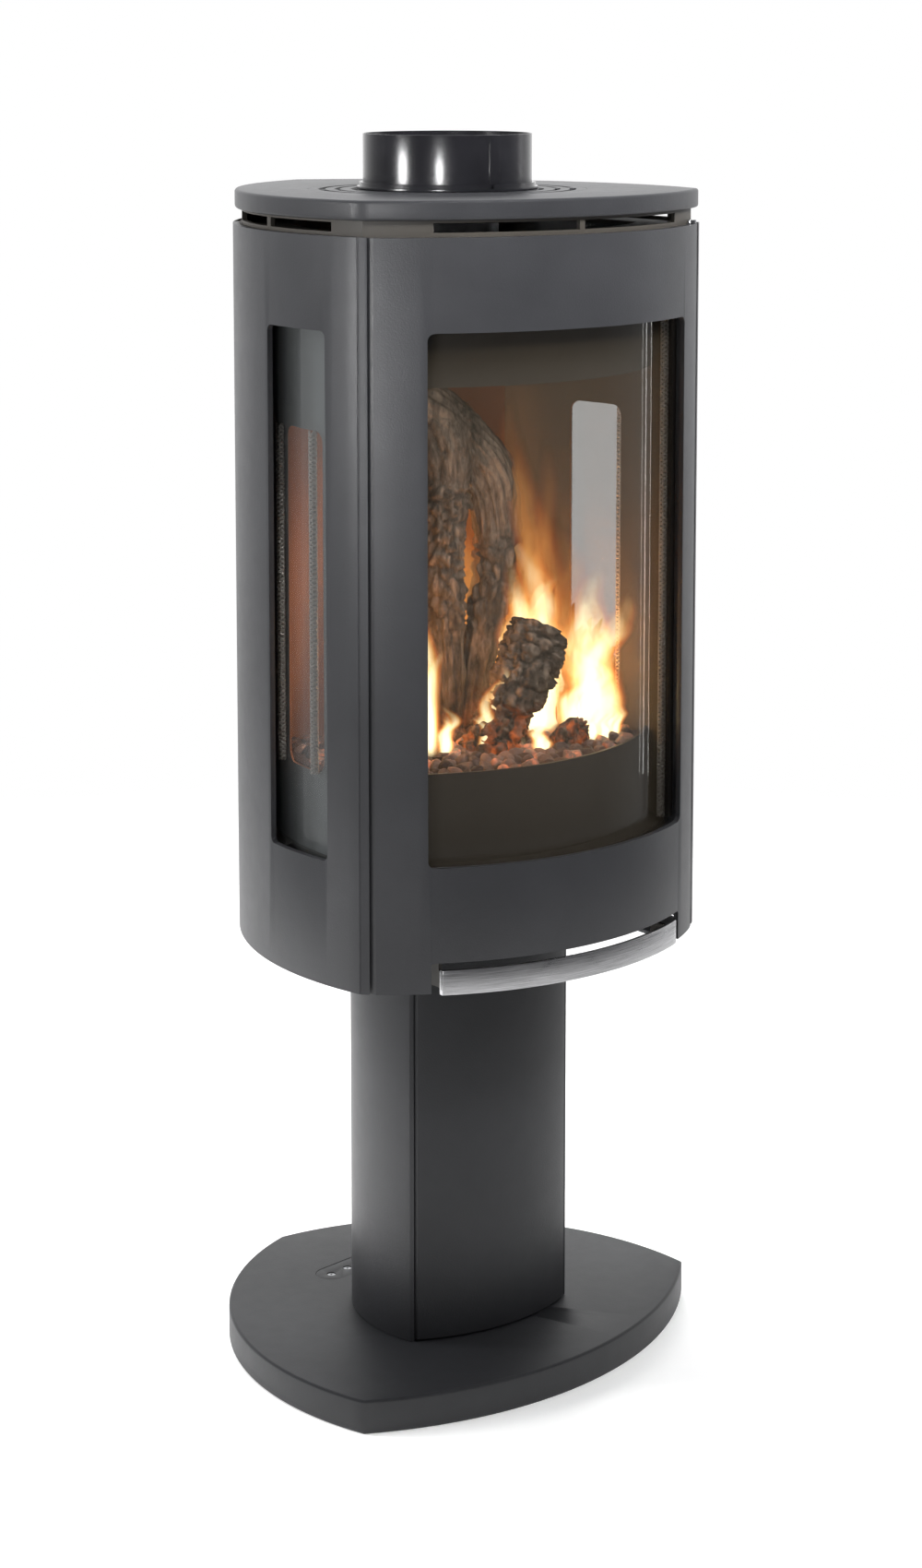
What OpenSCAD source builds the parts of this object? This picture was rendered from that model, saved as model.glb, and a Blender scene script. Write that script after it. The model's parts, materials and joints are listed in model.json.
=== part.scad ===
// Pedestal fire stove with a three-cornered plan, a curved front door, side windows,
// a log set on a gas burner, and a slim pedestal that swivels on a floor plate.
// Origin: on the flue and swivel axis, at the floor. The front faces -Y.

/* [Body plan] */
// Half the width between the two front corners
body_half_w = 209; // [174:1:251]
// Distance from the flue axis forward to the line through the front corners
body_corner_y = 142; // [125:1:170]
// Distance from the flue axis back to the rear corner
body_rear_y = 270; // [235:1:320]
// How far the front face bows out past its corners
front_bow = 79; // [65:1:95]
// How far each side face bows out past its corners
side_bow = 89; // [75:1:105]
// Thickness of the cast panels
panel_t = 6; // [5:0.5:7]

/* [Heights] */
// Thickness of the floor plate
base_t = 34; // [28:1:40]
// Underside of the stove body
body_z0 = 432; // [360:1:520]
// Height of the stove body
body_h = 719; // [680:1:863]
// Height of the slotted spacer under the top plate
spacer_h = 15; // [12:1:20]
// Thickness of the top plate
top_t = 19; // [16:1:25]
// Height of the flue pipe above the top plate
flue_h = 55; // [45:1:120]

/* [Windows] */
// Half the width of the front window
front_win_half_w = 157.5; // [120:0.5:162]
// Height of the windows above the underside of the body
win_z = 122; // [118:1:140]
// Height of the windows
win_h = 508; // [470:1:520]
// Front edge of the left side window
left_win_y0 = -99; // [-105:1:-90]
// Front edge of the right side window, which sits further back
right_win_y0 = -31; // [-45:1:-20]
// Width of the side windows
side_win_w = 97; // [80:1:105]
// Corner radius of the windows
win_r = 7; // [4:1:12]

/* [Front door and handle] */
// Gap round the front door
door_gap = 2.5; // [2:0.1:4]
// Width of the side panel's front edge that shows beside the door
side_edge_w = 5; // [4:0.5:6]
// Half the width of the notch for the handle
notch_half_w = 155; // [145:1:158]
// Height of the notch above the underside of the door
notch_h = 29.7; // [28:0.1:34]
// Half the length of the handle bar
handle_half_w = 146.8; // [138:0.2:148]
// Height of the handle bar
handle_h = 24.3; // [20:0.1:25]
// Thickness of the handle bar
handle_t = 4.5; // [4:0.5:6]
// Radius of the door's hinge pins
hinge_pin_r = 3; // [2.5:0.5:4]

/* [Firebox] */
// Distance from the outer face in to the glass
glass_inset = 20; // [17:0.5:22]
// Thickness of the ceramic glass
glass_t = 4; // [3:0.5:5]
// Distance from the outer face in to the firebox walls
firebox_inset = 34; // [32:1:38]
// Thickness of the firebox sheet
sheet_t = 2; // [1.5:0.5:3]
// Distance from the flue axis back to the firebox's rear panel
firebox_back_y = 95; // [90:1:110]
// Height of the ember bed above the underside of the body
bed_z = 194; // [180:1:205]
// Lower edge of the upper apron above the underside of the body
upper_apron_z = 574; // [560:1:590]
// Distance from the outer face in to the aprons
apron_inset = 50; // [46:1:56]

/* [Flue] */
// Outer radius of the flue pipe
flue_r = 84; // [70:1:101]
// Wall of the flue pipe
flue_t = 1.5; // [1:0.5:2]
// Outer radius of the inner exhaust pipe
inner_flue_r = 51; // [45:1:55]
// Width of the round grille from the flue out to its rim
grille_w = 54.5; // [46:0.5:60]

/* [Pedestal] */
// Half the width between the pedestal's front corners
ped_half_w = 100; // [83:1:120]
// Distance from the axis forward to the pedestal's front corners
ped_corner_y = 71.5; // [66:0.5:85]
// Distance from the axis back to the pedestal's rear corner
ped_rear_y = 118; // [110:1:140]
// Bow of the pedestal's front
ped_front_bow = 26; // [20:1:32]
// Bow of the pedestal's sides
ped_side_bow = 45; // [36:1:52]
// Thickness of the pedestal's panels
ped_t = 3; // [2.5:0.5:4]

/* [Floor plate] */
// Half the width between the floor plate's front corners
base_half_w = 243; // [210:1:280]
// Distance from the axis forward to the floor plate's front corners
base_corner_y = 116; // [105:1:140]
// Distance from the axis back to the floor plate's rear corner
base_rear_y = 250; // [220:1:290]
// Bow of the floor plate's front
base_front_bow = 82; // [70:1:95]
// Bow of the floor plate's sides
base_side_bow = 90; // [75:1:100]
// Turn of the floor plate from the stove's own front
base_turn = 10; // [-20:1:20]

/* [Swivel] */
// Radius of the swivel spindle
spindle_r = 30; // [25:1:36]
// Swing of the stove each way from straight ahead
swivel_half = 45; // [30:1:60]

/* [Hidden] */
$fn = 96;

// Small gap between pieces that seat in or on each other
seat = 0.2;
// Radial clearance of a running fit
run = 0.05;
// Gap between pieces that move past each other
pass = 0.5;

body_z1 = body_z0 + body_h;
top_z0 = body_z1 + spacer_h;
top_z1 = top_z0 + top_t;
win_z0 = body_z0 + win_z;
win_z1 = win_z0 + win_h;
side_win_y0 = [left_win_y0, 0, right_win_y0];
// The body's floor and the firebox's floor, above the underside of the body
floor_rise = 38;
box_rise = 112;
floor_z1 = body_z0 + floor_rise;
floor_t = 4;
box_z0 = body_z0 + box_rise;
box_z1 = win_z1 + 6;
bed_top = body_z0 + bed_z;

// Plans: [half width, corner y, rear y, front bow, side bow]
BODY = [body_half_w, body_corner_y, body_rear_y, front_bow, side_bow];
PED = [ped_half_w, ped_corner_y, ped_rear_y, ped_front_bow, ped_side_bow];
BASE = [base_half_w, base_corner_y, base_rear_y, base_front_bow, base_side_bow];

function arc_r(chord, bow) = (chord * chord / 4 + bow * bow) / (2 * bow);
function front_r(p) = arc_r(2 * p[0], p[3]);
function front_c(p) = [0, front_r(p) - p[1] - p[3]];
function side_len(p) = norm([p[0], p[1] + p[2]]);
function side_r(p) = arc_r(side_len(p), p[4]);
function side_n(p) = [p[1] + p[2], p[0]] / side_len(p);
function side_c(p) = [p[0], p[2] - p[1]] / 2 + side_n(p) * (p[4] - side_r(p));
// Outer face of the front at x, inset by t
function front_y(p, x, t) = front_c(p)[1] - sqrt(pow(front_r(p) - t, 2) - x * x);
// Outer face of the right side at y, inset by t
function side_x(p, y, t) = side_c(p)[0] + sqrt(pow(side_r(p) - t, 2) - pow(y - side_c(p)[1], 2));
// Front right corner for insets tf from the front and ts from the side
function corner(p, tf, ts) =
  let (c1 = front_c(p), c2 = side_c(p), d = norm(c2 - c1), u = (c2 - c1) / d,
       r1 = front_r(p) - tf, r2 = side_r(p) - ts, a = (r1 * r1 - r2 * r2 + d * d) / (2 * d),
       h = sqrt(r1 * r1 - a * a), m = c1 + a * u, n = [-u[1], u[0]],
       pa = m + h * n, pb = m - h * n)
  pa[0] - pa[1] > pb[0] - pb[1] ? pa : pb;

module front_disc(p, t) { translate(front_c(p)) circle(r = front_r(p) - t); }
module side_disc(p, t, s) { translate([s * side_c(p)[0], side_c(p)[1]]) circle(r = side_r(p) - t); }
// Three-cornered plan with its front inset by tf and its sides by ts
module plan(p, tf, ts) {
  intersection() {
    front_disc(p, tf);
    side_disc(p, ts, 1);
    side_disc(p, ts, -1);
  }
}
// Strip along the front between insets t0 and t1, its ends inset by ts
module front_strip(p, t0, t1, ts) {
  difference() {
    plan(p, t0, ts);
    front_disc(p, t1);
  }
}
// Strip along one side between insets t0 and t1, from the front inset tf
module side_strip(p, t0, t1, tf, s) {
  difference() {
    plan(p, tf, t0);
    side_disc(p, t1, s);
  }
}
module block(x0, x1, y0, y1, z0, z1) { translate([x0, y0, z0]) cube([x1 - x0, y1 - y0, z1 - z0]); }
module flat_block(x0, x1, y0, y1) { translate([x0, y0]) square([x1 - x0, y1 - y0]); }
module at_z(z, h) { translate([0, 0, z]) linear_extrude(h) children(); }
// Rectangle with round corners, centred in x, from z = 0 up
module round_rect(w, h, r) {
  translate([-w / 2 + r, 0]) square([w - 2 * r, h]);
  translate([-w / 2, r]) square([w, h - 2 * r]);
  for (x = [-1, 1], z = [r, h - r]) translate([x * (w / 2 - r), z]) circle(r = r, $fn = 32);
}
module window_cut_front(half_w, z0, h, r) {
  translate([0, 0, z0]) rotate([90, 0, 0]) linear_extrude(400) round_rect(2 * half_w, h, r);
}
module window_cut_side(y0, w, z0, h, r, s) {
  translate([s * 100, y0 + w / 2, z0]) rotate([90, 0, s * 90]) linear_extrude(200) round_rect(w, h, r);
}
// Disc with its upper and lower edges rounded
module soft_disc(r, h, e) {
  steps = 4;
  rim = [for (i = [0 : steps]) let (b = 90 * i / steps) [r - e + e * sin(b), h - e + e * cos(b)]];
  foot = [for (i = [0 : steps]) let (b = 90 * i / steps) [r - e + e * cos(b), e - e * sin(b)]];
  rotate_extrude() polygon(concat([[0, h]], rim, foot, [[0, 0]]));
}
// Slab on a three-cornered plan, inset by t, with its edges rounded
module soft_slab(p, t, z, h, e) {
  translate([0, 0, z]) intersection() {
    translate(front_c(p)) soft_disc(front_r(p) - t, h, e);
    translate(side_c(p)) soft_disc(side_r(p) - t, h, e);
    translate([-side_c(p)[0], side_c(p)[1]]) soft_disc(side_r(p) - t, h, e);
  }
}
module tube(r1, r0, z, h) {
  translate([0, 0, z]) difference() {
    cylinder(r = r1, h = h);
    translate([0, 0, -1]) cylinder(r = r0, h = h + 2);
  }
}
// Log through points [x, y, z, radius], with a level ring of corners at each point
module limb(pts) {
  n = 14;
  last = len(pts) - 1;
  corners = [for (q = pts, i = [0 : n - 1])
    let (b = 360 * i / n) [q[0] + q[3] * cos(b), q[1] + q[3] * sin(b), q[2]]];
  walls = [for (k = [0 : last - 1], i = [0 : n - 1]) let (j = (i + 1) % n)
    each [[k * n + i, k * n + n + i, k * n + n + j], [k * n + i, k * n + n + j, k * n + j]]];
  foot = [for (i = [0 : n - 1]) i];
  crown = [for (i = [n - 1 : -1 : 0]) last * n + i];
  polyhedron(points = corners, faces = concat(walls, [foot, crown]));
}
module on_base() { rotate([0, 0, base_turn]) children(); }

// Floor plate -----------------------------------------------------------------
plate_edge = 3;
cover_r = 17;
cover_half = 37;
cover_t = 5;
// The cover lies just behind the pedestal's rear corner
cover_y = ped_rear_y + cover_r - 1;
cover_screw_x = [-38, -14, 14, 38];
cover_well_half = 20;
cover_well_r = 11;
cover_well_d = 22;
screw_r = 1.9;
screw_head_r = 4.3;
screw_head_t = 1.9;
screw_len = 10;
screw_z = base_t - 12;
pad_r = 18;
pad_t = 4;
// Pads sit this far in from the floor plate's corners, in x and in y
pad_in = [53, 21];
rear_pad_x = 90;
rear_pad_in = 130;
pad_places = [for (s = [-1, 1]) each [
  [s * (base_half_w - pad_in[0]), pad_in[1] - base_corner_y],
  [s * rear_pad_x, base_rear_y - rear_pad_in]]];
spindle_wall = 6;
spindle_flange = 8;
spindle_flange_t = 5.5;
// How deep the spindle and the stop pin sit in the floor plate
socket_d = 12;
stop_r = spindle_r + 18;
stop_pin_r = 4;
stop_slot_half = stop_pin_r + 0.6;
glide_t = 1.5;
glide_r = [stop_r + 12, stop_r + 30];
plate_gap = 0.4;
plate_z0 = base_t + glide_t + plate_gap;
plate_t = 12;
module obround(half, r) {
  square([2 * half, 2 * r], center = true);
  for (x = [-half, half]) translate([x, 0]) circle(r = r, $fn = 48);
}
module base_plate() {
  color("#3b3c40") on_base() difference() {
    soft_slab(BASE, 0, 0, base_t, plate_edge);
    translate([0, cover_y, base_t - cover_t]) linear_extrude(cover_t + 1)
      obround(cover_half + seat, cover_r + seat);
    translate([0, cover_y, base_t - cover_well_d]) linear_extrude(cover_well_d + 1)
      obround(cover_well_half, cover_well_r);
    for (q = pad_places) translate([q[0], q[1], -1]) cylinder(r = pad_r + seat, h = pad_t + 1);
    for (x = cover_screw_x) translate([x, cover_y, screw_z - 2])
      cylinder(r = screw_r + 0.1, h = 20, $fn = 24);
    translate([0, 0, base_t - socket_d]) cylinder(r = spindle_r + seat, h = socket_d + 1);
    translate([0, stop_r, base_t - socket_d]) cylinder(r = stop_pin_r + seat, h = socket_d + 1, $fn = 32);
  }
}
module base_cover() {
  color("#333438") on_base() translate([0, cover_y, base_t - cover_t + seat]) difference() {
    linear_extrude(cover_t - seat - 0.3) obround(cover_half, cover_r);
    for (x = cover_screw_x) translate([x, 0, -1]) cylinder(r = screw_r + 0.6, h = 9, $fn = 24);
    for (x = cover_screw_x) translate([x, 0, 1.6]) cylinder(r = screw_head_r + 0.3, h = 9, $fn = 32);
  }
}
module cover_screws() {
  color("#1c1c1e") on_base() for (x = cover_screw_x) translate([x, cover_y, screw_z]) difference() {
    union() {
      cylinder(r = screw_r, h = screw_len, $fn = 24);
      translate([0, 0, screw_len - 1]) cylinder(r = screw_head_r, h = screw_head_t, $fn = 32);
    }
    translate([0, 0, screw_len - 0.4]) cylinder(r = 1.5, h = 4, $fn = 6);
  }
}
module floor_pads() {
  color("#202022") on_base() for (q = pad_places)
    translate([q[0], q[1], 0]) cylinder(r = pad_r, h = pad_t);
}
module glide_ring() { color("#d8d4c8") tube(glide_r[1], glide_r[0], base_t, glide_t); }
module swivel_spindle() {
  color("#8a8c90") difference() {
    union() {
      translate([0, 0, base_t - socket_d + seat]) cylinder(r = spindle_r, h = socket_d + 22);
      translate([0, 0, plate_z0 + plate_t + 2.1])
        cylinder(r = spindle_r + spindle_flange, h = spindle_flange_t);
    }
    translate([0, 0, base_t - 20]) cylinder(r = spindle_r - spindle_wall, h = 60);
  }
}
module swivel_stop_pin() {
  color("#8a8c90") on_base() translate([0, stop_r, base_t - socket_d + seat])
    cylinder(r = stop_pin_r, h = socket_d + 11, $fn = 32);
}

// Pedestal --------------------------------------------------------------------
stop_half = swivel_half + asin(stop_pin_r / stop_r) + 1;
ped_z0 = base_t + pass;
ped_pin_r = 2;
ped_knuckle_r = ped_pin_r + 2;
ped_hinge = corner(PED, ped_knuckle_r + 1, ped_knuckle_r + 4);
ped_pin_len = 10;
ped_door_z0 = ped_z0 + 2;
ped_door_z1 = body_z0 - 3;
module swivel_plate() {
  color("#6d6f74") difference() {
    at_z(plate_z0, plate_t) plan(PED, ped_t + 12, ped_t + seat);
    translate([0, 0, plate_z0 - 1]) cylinder(r = spindle_r + run, h = plate_t + 2);
    rotate([0, 0, 90 - stop_half]) translate([0, 0, plate_z0 - 1])
      rotate_extrude(angle = 2 * stop_half) translate([stop_r - stop_slot_half, 0])
        square([2 * stop_slot_half, plate_t + 2]);
  }
}
module pedestal_side(s) {
  difference() {
    at_z(ped_z0, floor_z1 - floor_t - ped_z0 - seat) difference() {
      side_strip(PED, 0, ped_t, 1, s);
      flat_block(s > 0 ? -300 : seat / 2, s > 0 ? seat / 2 : 300, -300, 300);
    }
    if (s > 0) translate([ped_hinge[0], ped_hinge[1], ped_z0 - 1])
      cylinder(r = ped_knuckle_r + 1, h = ped_door_z1 - ped_z0 + 2, $fn = 48);
    if (s > 0) block(0, 300, -300, ped_hinge[1] + 1.5, ped_z0 - 1, ped_door_z1 + 1);
    at_z(ped_z0 - 1, ped_door_z1 - ped_z0 + 2) front_strip(PED, -2, ped_t + 1.2, ped_t + 0.5);
  }
}
module pedestal_left() { color("#3b3c40") pedestal_side(-1); }
module pedestal_right() { color("#3b3c40") pedestal_side(1); }
module pedestal_header() {
  color("#2c2d30") at_z(ped_door_z1 + 1.5, floor_z1 - floor_t - seat - ped_door_z1 - 1.5)
    front_strip(PED, 1, ped_t, ped_t + seat);
}
module pedestal_hinge_pins() {
  color("#9a9ca0") for (z = [ped_door_z0 - 1.5, ped_door_z1 - ped_pin_len + 2])
    translate([ped_hinge[0], ped_hinge[1], z]) cylinder(r = ped_pin_r, h = ped_pin_len, $fn = 32);
}
magnet_x = 34 - ped_half_w;
magnet_size = [18, 12, 16];
module pedestal_magnet() {
  color("#9a9ca0") translate([magnet_x, front_y(PED, magnet_x, ped_t) + 1.2, ped_door_z1 - 49])
    cube(magnet_size);
}
module pedestal_door() {
  color("#3b3c40") difference() {
    union() {
      at_z(ped_door_z0, ped_door_z1 - ped_door_z0) difference() {
        front_strip(PED, 0, ped_t, ped_t + 1.5);
        flat_block(ped_hinge[0], 300, -300, 300);
      }
      translate([ped_hinge[0], ped_hinge[1], ped_door_z0])
        cylinder(r = ped_knuckle_r, h = ped_door_z1 - ped_door_z0, $fn = 48);
    }
    for (z = [ped_door_z0 - 7.5, ped_door_z1 - ped_pin_len + 1]) translate([ped_hinge[0], ped_hinge[1], z])
      cylinder(r = ped_pin_r + run, h = ped_pin_len + 6, $fn = 32);
  }
}

// Gas controls inside the pedestal ----------------------------------------------
bracket_half = 56;
bracket_t = 2;
// The bracket stands just behind the spindle's flange
bracket_y = spindle_r + spindle_flange + 4;
valve_z = 250;
valve_face_y = -30;
valve_x = [-40, 34];
valve_top = valve_z + 20;
valve_foot = valve_z - 32;
shelf_y0 = valve_face_y - 4;
control_x = -20;
flame_x = 16;
knob_stem_r = 3;
// Pipes rise behind the valve's face at this y
pipe_y = -10;
inlet_r = 6;
inlet_bore_r = 4;
inlet_z0 = plate_z0 + plate_t + 4;
burner_pipe_r = 4.6;
burner_bore_r = 3.2;
union_r = 9;
union_h = 5;
tray_h = 44;
// Ignition and receiver boxes, side by side above the valve
box_low = valve_z + 26;
box_high = valve_z + 62;
igniter_x = 44;
igniter_z = valve_z + 40;
igniter_r = 5;
igniter_stem_r = 2;
ignition_x = [30, 60];
receiver_x = [-54, -14];
receiver_y = valve_face_y + 10;
switch_x = [-31, -26];
switch_z = [valve_z + 40.5, valve_z + 47.5];
switch_slot_x = [-45, -25];
module valve_bracket() {
  color("#77797d") difference() {
    union() {
      block(-bracket_half, bracket_half, bracket_y, bracket_y + bracket_t, plate_z0 + plate_t + seat,
        valve_z + 80);
      block(-bracket_half, bracket_half, shelf_y0, bracket_y, valve_foot - 2, valve_foot);
    }
    translate([0, bracket_y + 5, valve_z + 50]) rotate([90, 0, 0]) cylinder(r = 7, h = 10);
    translate([0, pipe_y, valve_foot - 8]) cylinder(r = inlet_r + 3, h = 20);
  }
}
module gas_valve() {
  color("#a9abae") difference() {
    union() {
      block(valve_x[0], valve_x[1], valve_face_y, 10, valve_foot + seat, valve_top);
      translate([control_x, valve_face_y + 1, valve_z]) rotate([90, 0, 0]) cylinder(r = 15, h = 5);
      translate([flame_x, valve_face_y + 1, valve_z]) rotate([90, 0, 0]) cylinder(r = 11, h = 5);
    }
    for (x = [control_x, flame_x]) translate([x, valve_face_y + 10, valve_z]) rotate([90, 0, 0])
      cylinder(r = knob_stem_r + run, h = 20, $fn = 32);
    translate([0, pipe_y, valve_foot - 8]) cylinder(r = inlet_r, h = 18);
    translate([0, pipe_y, valve_top - 10]) cylinder(r = 5, h = 18);
  }
}
module knob(r, h, grips) {
  rotate([90, 0, 0]) {
    difference() {
      cylinder(r = r, h = h);
      for (i = [0 : grips - 1]) rotate([0, 0, 360 * i / grips])
        translate([r + 0.6, 0, 3]) cylinder(r = 1.6, h = h, $fn = 16);
      translate([-0.8, r * 0.35, h - 0.8]) cube([1.6, r * 0.6, 2]);
    }
    translate([0, 0, -12]) cylinder(r = knob_stem_r, h = 13, $fn = 32);
  }
}
module control_knob() { color("#1f1f21") translate([control_x, valve_face_y - 5, valve_z])
  knob(13, 12, 20); }
module flame_knob() { color("#1f1f21") translate([flame_x, valve_face_y - 5, valve_z]) knob(9, 10, 16); }
module igniter_button() {
  color("#b02a20") translate([igniter_x, valve_face_y - 10, igniter_z]) rotate([90, 0, 0]) {
    cylinder(r = igniter_r, h = 12, $fn = 32);
    translate([0, 0, -14]) cylinder(r = igniter_stem_r, h = 15, $fn = 24);
  }
}
module receiver_box() {
  color("#26272a") difference() {
    union() {
      block(ignition_x[0], ignition_x[1], valve_face_y - 6, bracket_y - seat, box_low, box_high);
      block(receiver_x[0], receiver_x[1], receiver_y, bracket_y - seat, box_low, box_high);
    }
    translate([igniter_x, valve_face_y + 10, igniter_z]) rotate([90, 0, 0])
      cylinder(r = igniter_r + 0.4, h = 30, $fn = 32);
    translate([igniter_x, valve_face_y + 36, igniter_z]) rotate([90, 0, 0])
      cylinder(r = igniter_stem_r + run, h = 60, $fn = 24);
    block(switch_slot_x[0], switch_slot_x[1], receiver_y - 10, receiver_y + 6, switch_z[0] - 0.5,
      switch_z[1] + 0.5);
  }
}
module receiver_switch() {
  color("#d0d0d0")
    block(switch_x[0], switch_x[1], receiver_y - 4, receiver_y + 5.6, switch_z[0], switch_z[1]);
}
module gas_inlet_pipe() {
  color("#b08a3c") translate([0, pipe_y, 0])
    tube(inlet_r - seat, inlet_bore_r, inlet_z0, valve_foot + 8 - inlet_z0);
}
module burner_pipe() {
  color("#b08a3c") translate([0, pipe_y, valve_top + seat]) difference() {
    union() {
      cylinder(r = burner_pipe_r, h = box_z0 + 38 - valve_top);
      cylinder(r = union_r, h = union_h, $fn = 6);
    }
    translate([0, 0, -1]) cylinder(r = burner_bore_r, h = 600);
  }
}

// Stove body --------------------------------------------------------------------
// Free depth behind the front face for the handle's arms and shaft
notch_clear = 90;
// Bolts that hold the body floor to the pedestal
bolt_places = [[-40, 40], [40, 40], [-55, -30], [55, -30]];
bolt_r = 4;
module body_floor() {
  color("#2c2d30") difference() {
    at_z(floor_z1 - floor_t, floor_t) plan(BODY, notch_clear, panel_t + seat);
    translate([0, pipe_y, floor_z1 - 10]) cylinder(r = union_r + 5, h = 20);
    for (q = bolt_places) translate([q[0], q[1], floor_z1 - 10])
      cylinder(r = bolt_r + 0.5, h = 20, $fn = 32);
  }
}
module floor_bolts() {
  color("#8c8e92") for (q = bolt_places) translate([q[0], q[1], floor_z1 + seat]) {
    cylinder(r = bolt_r + 3.5, h = 5, $fn = 6);
    translate([0, 0, -20]) cylinder(r = bolt_r, h = 21, $fn = 32);
  }
}
door_ts = side_edge_w + door_gap;
door_hinge = corner(BODY, panel_t + 1.5, door_ts + panel_t + 1.5);
knuckle_r = panel_t + 1;
side_end_y = 150;
module side_panel(s) {
  difference() {
    at_z(body_z0, body_h) difference() {
      side_strip(BODY, 0, panel_t, 1, s);
      front_strip(BODY, -2, panel_t + door_gap, side_edge_w);
      flat_block(-400, 400, side_end_y, 600);
      translate([s * door_hinge[0], door_hinge[1]]) circle(r = knuckle_r + 1.5, $fn = 48);
      translate([s * corner(BODY, 1, 0)[0], corner(BODY, 1, 0)[1]]) circle(r = 0.8, $fn = 24);
    }
    window_cut_side(side_win_y0[s + 1], side_win_w, win_z0, win_h, win_r, s);
  }
}
module side_panel_left() { color("#3b3c40") side_panel(-1); }
module side_panel_right() { color("#3b3c40") side_panel(1); }
rear_t = 1.5;
vent_pitch = 34;
// One row of vents up each face of the rear cover
module vents(z0, count) {
  for (i = [0 : count - 1], s = [-1, 1]) translate([s * 50, body_rear_y - 50, z0 + vent_pitch * i])
    rotate([0, 0, -s * 58]) cube([30, 60, 8], center = true);
}
module rear_cover() {
  color("#2f3033") difference() {
    at_z(body_z0, body_h) intersection() {
      difference() {
        plan(BODY, 0, 0);
        plan(BODY, 0, rear_t);
      }
      flat_block(-300, 300, side_end_y + 0.6, 400);
    }
    vents(body_z0 + 60, 8);
    vents(body_z1 - 160, 4);
  }
}
frame_t = 4;
module top_frame() {
  color("#232426") difference() {
    at_z(body_z1 - frame_t, frame_t) plan(BODY, panel_t + 2.5, panel_t + seat);
    at_z(body_z1 - frame_t - 1, frame_t + 2) plan(BODY, 62, 56);
    translate([door_hinge[0], door_hinge[1], body_z1 - 10]) cylinder(r = knuckle_r + 5, h = 20, $fn = 48);
  }
}
spacer_inset = 9;
spacer_wall = 5;
front_slot_x = 75;
front_slot_half = 72;
pin_head_r = knuckle_r - 1;
pin_head_t = 3;
module spacer_frame() {
  slot_z0 = body_z1 + 3.5;
  slot_h = spacer_h - 6;
  color("#2a2b2e") difference() {
    at_z(body_z1, spacer_h) difference() {
      plan(BODY, spacer_inset, spacer_inset);
      plan(BODY, spacer_inset + spacer_wall, spacer_inset + spacer_wall);
    }
    for (s = [-1, 1])
      block(s * front_slot_x - front_slot_half, s * front_slot_x + front_slot_half, -310, -50,
      slot_z0, slot_z0 + slot_h);
    translate([door_hinge[0], door_hinge[1], body_z1 - 1])
      cylinder(r = pin_head_r + seat, h = pin_head_t + 1 + seat, $fn = 32);
    for (s = [-1, 1]) {
      block(s > 0 ? 120 : -300, s > 0 ? 300 : -120, -98, 6, slot_z0, slot_z0 + slot_h);
      block(s > 0 ? 100 : -300, s > 0 ? 300 : -100, 14, 120, slot_z0, slot_z0 + slot_h);
    }
  }
}
top_inset = 2;
module top_plate() {
  color("#3b3c40") difference() {
    soft_slab(BODY, top_inset, top_z0, top_t, 3);
    translate([0, 0, top_z0 - 1]) cylinder(r = grille_r + seat, h = top_t + 2, $fn = 128);
  }
}
grille_r = flue_r + grille_w;
// Slots of the round grille, from the flue (0) out to the rim (1)
grille_slots = [[0.12, 0.22], [0.42, 0.52], [0.69, 0.81]];
grille_rib = 10;
grille_t = 8;
module top_grille() {
  color("#37383b") translate([0, 0, top_z1 - grille_t]) difference() {
    cylinder(r = grille_r, h = grille_t, $fn = 128);
    translate([0, 0, -1]) cylinder(r = flue_r + 1.2, h = grille_t + 2, $fn = 128);
    for (g = grille_slots) difference() {
      translate([0, 0, -1]) cylinder(r = flue_r + grille_w * g[1], h = grille_t + 2, $fn = 128);
      translate([0, 0, -2]) cylinder(r = flue_r + grille_w * g[0], h = grille_t + 4, $fn = 128);
      for (a = [30 : 60 : 330]) rotate([0, 0, a])
        translate([0, -grille_rib / 2, -3]) cube([grille_r + 20, grille_rib, grille_t + 6]);
    }
  }
}
collar_h = 7;
seam_x = -6;
seam_half = 6;
module flue_collar() {
  color("#202123") difference() {
    union() {
      tube(flue_r + 6, flue_r + seat, top_z1 + seat, 3);
      tube(flue_r + 3.5, flue_r + seat, top_z1 + seat, collar_h);
    }
    block(seam_x - seam_half - 1.5, seam_x + seam_half + 1.5, -flue_r - 3, -flue_r + 3, top_z1 - 1,
      top_z1 + 19);
  }
}
module flue_pipe() {
  color("#1d1e20") {
    tube(flue_r, flue_r - flue_t, top_z1 - 30, flue_h + 30);
    at_z(top_z1 + seat, flue_h - seat) intersection() {
      difference() {
        circle(r = flue_r + 1.2);
        circle(r = flue_r - 0.5);
      }
      translate([seam_x - seam_half, -flue_r - 3]) square([2 * seam_half, 20]);
    }
  }
}
module inner_flue_pipe() {
  color("#8a8c90")
    tube(inner_flue_r, inner_flue_r - 1, box_z1 + sheet_t + seat, top_z1 + flue_h - 8 - box_z1 - sheet_t);
}

// Front door --------------------------------------------------------------------
door_top = body_z1 - pass;
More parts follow.
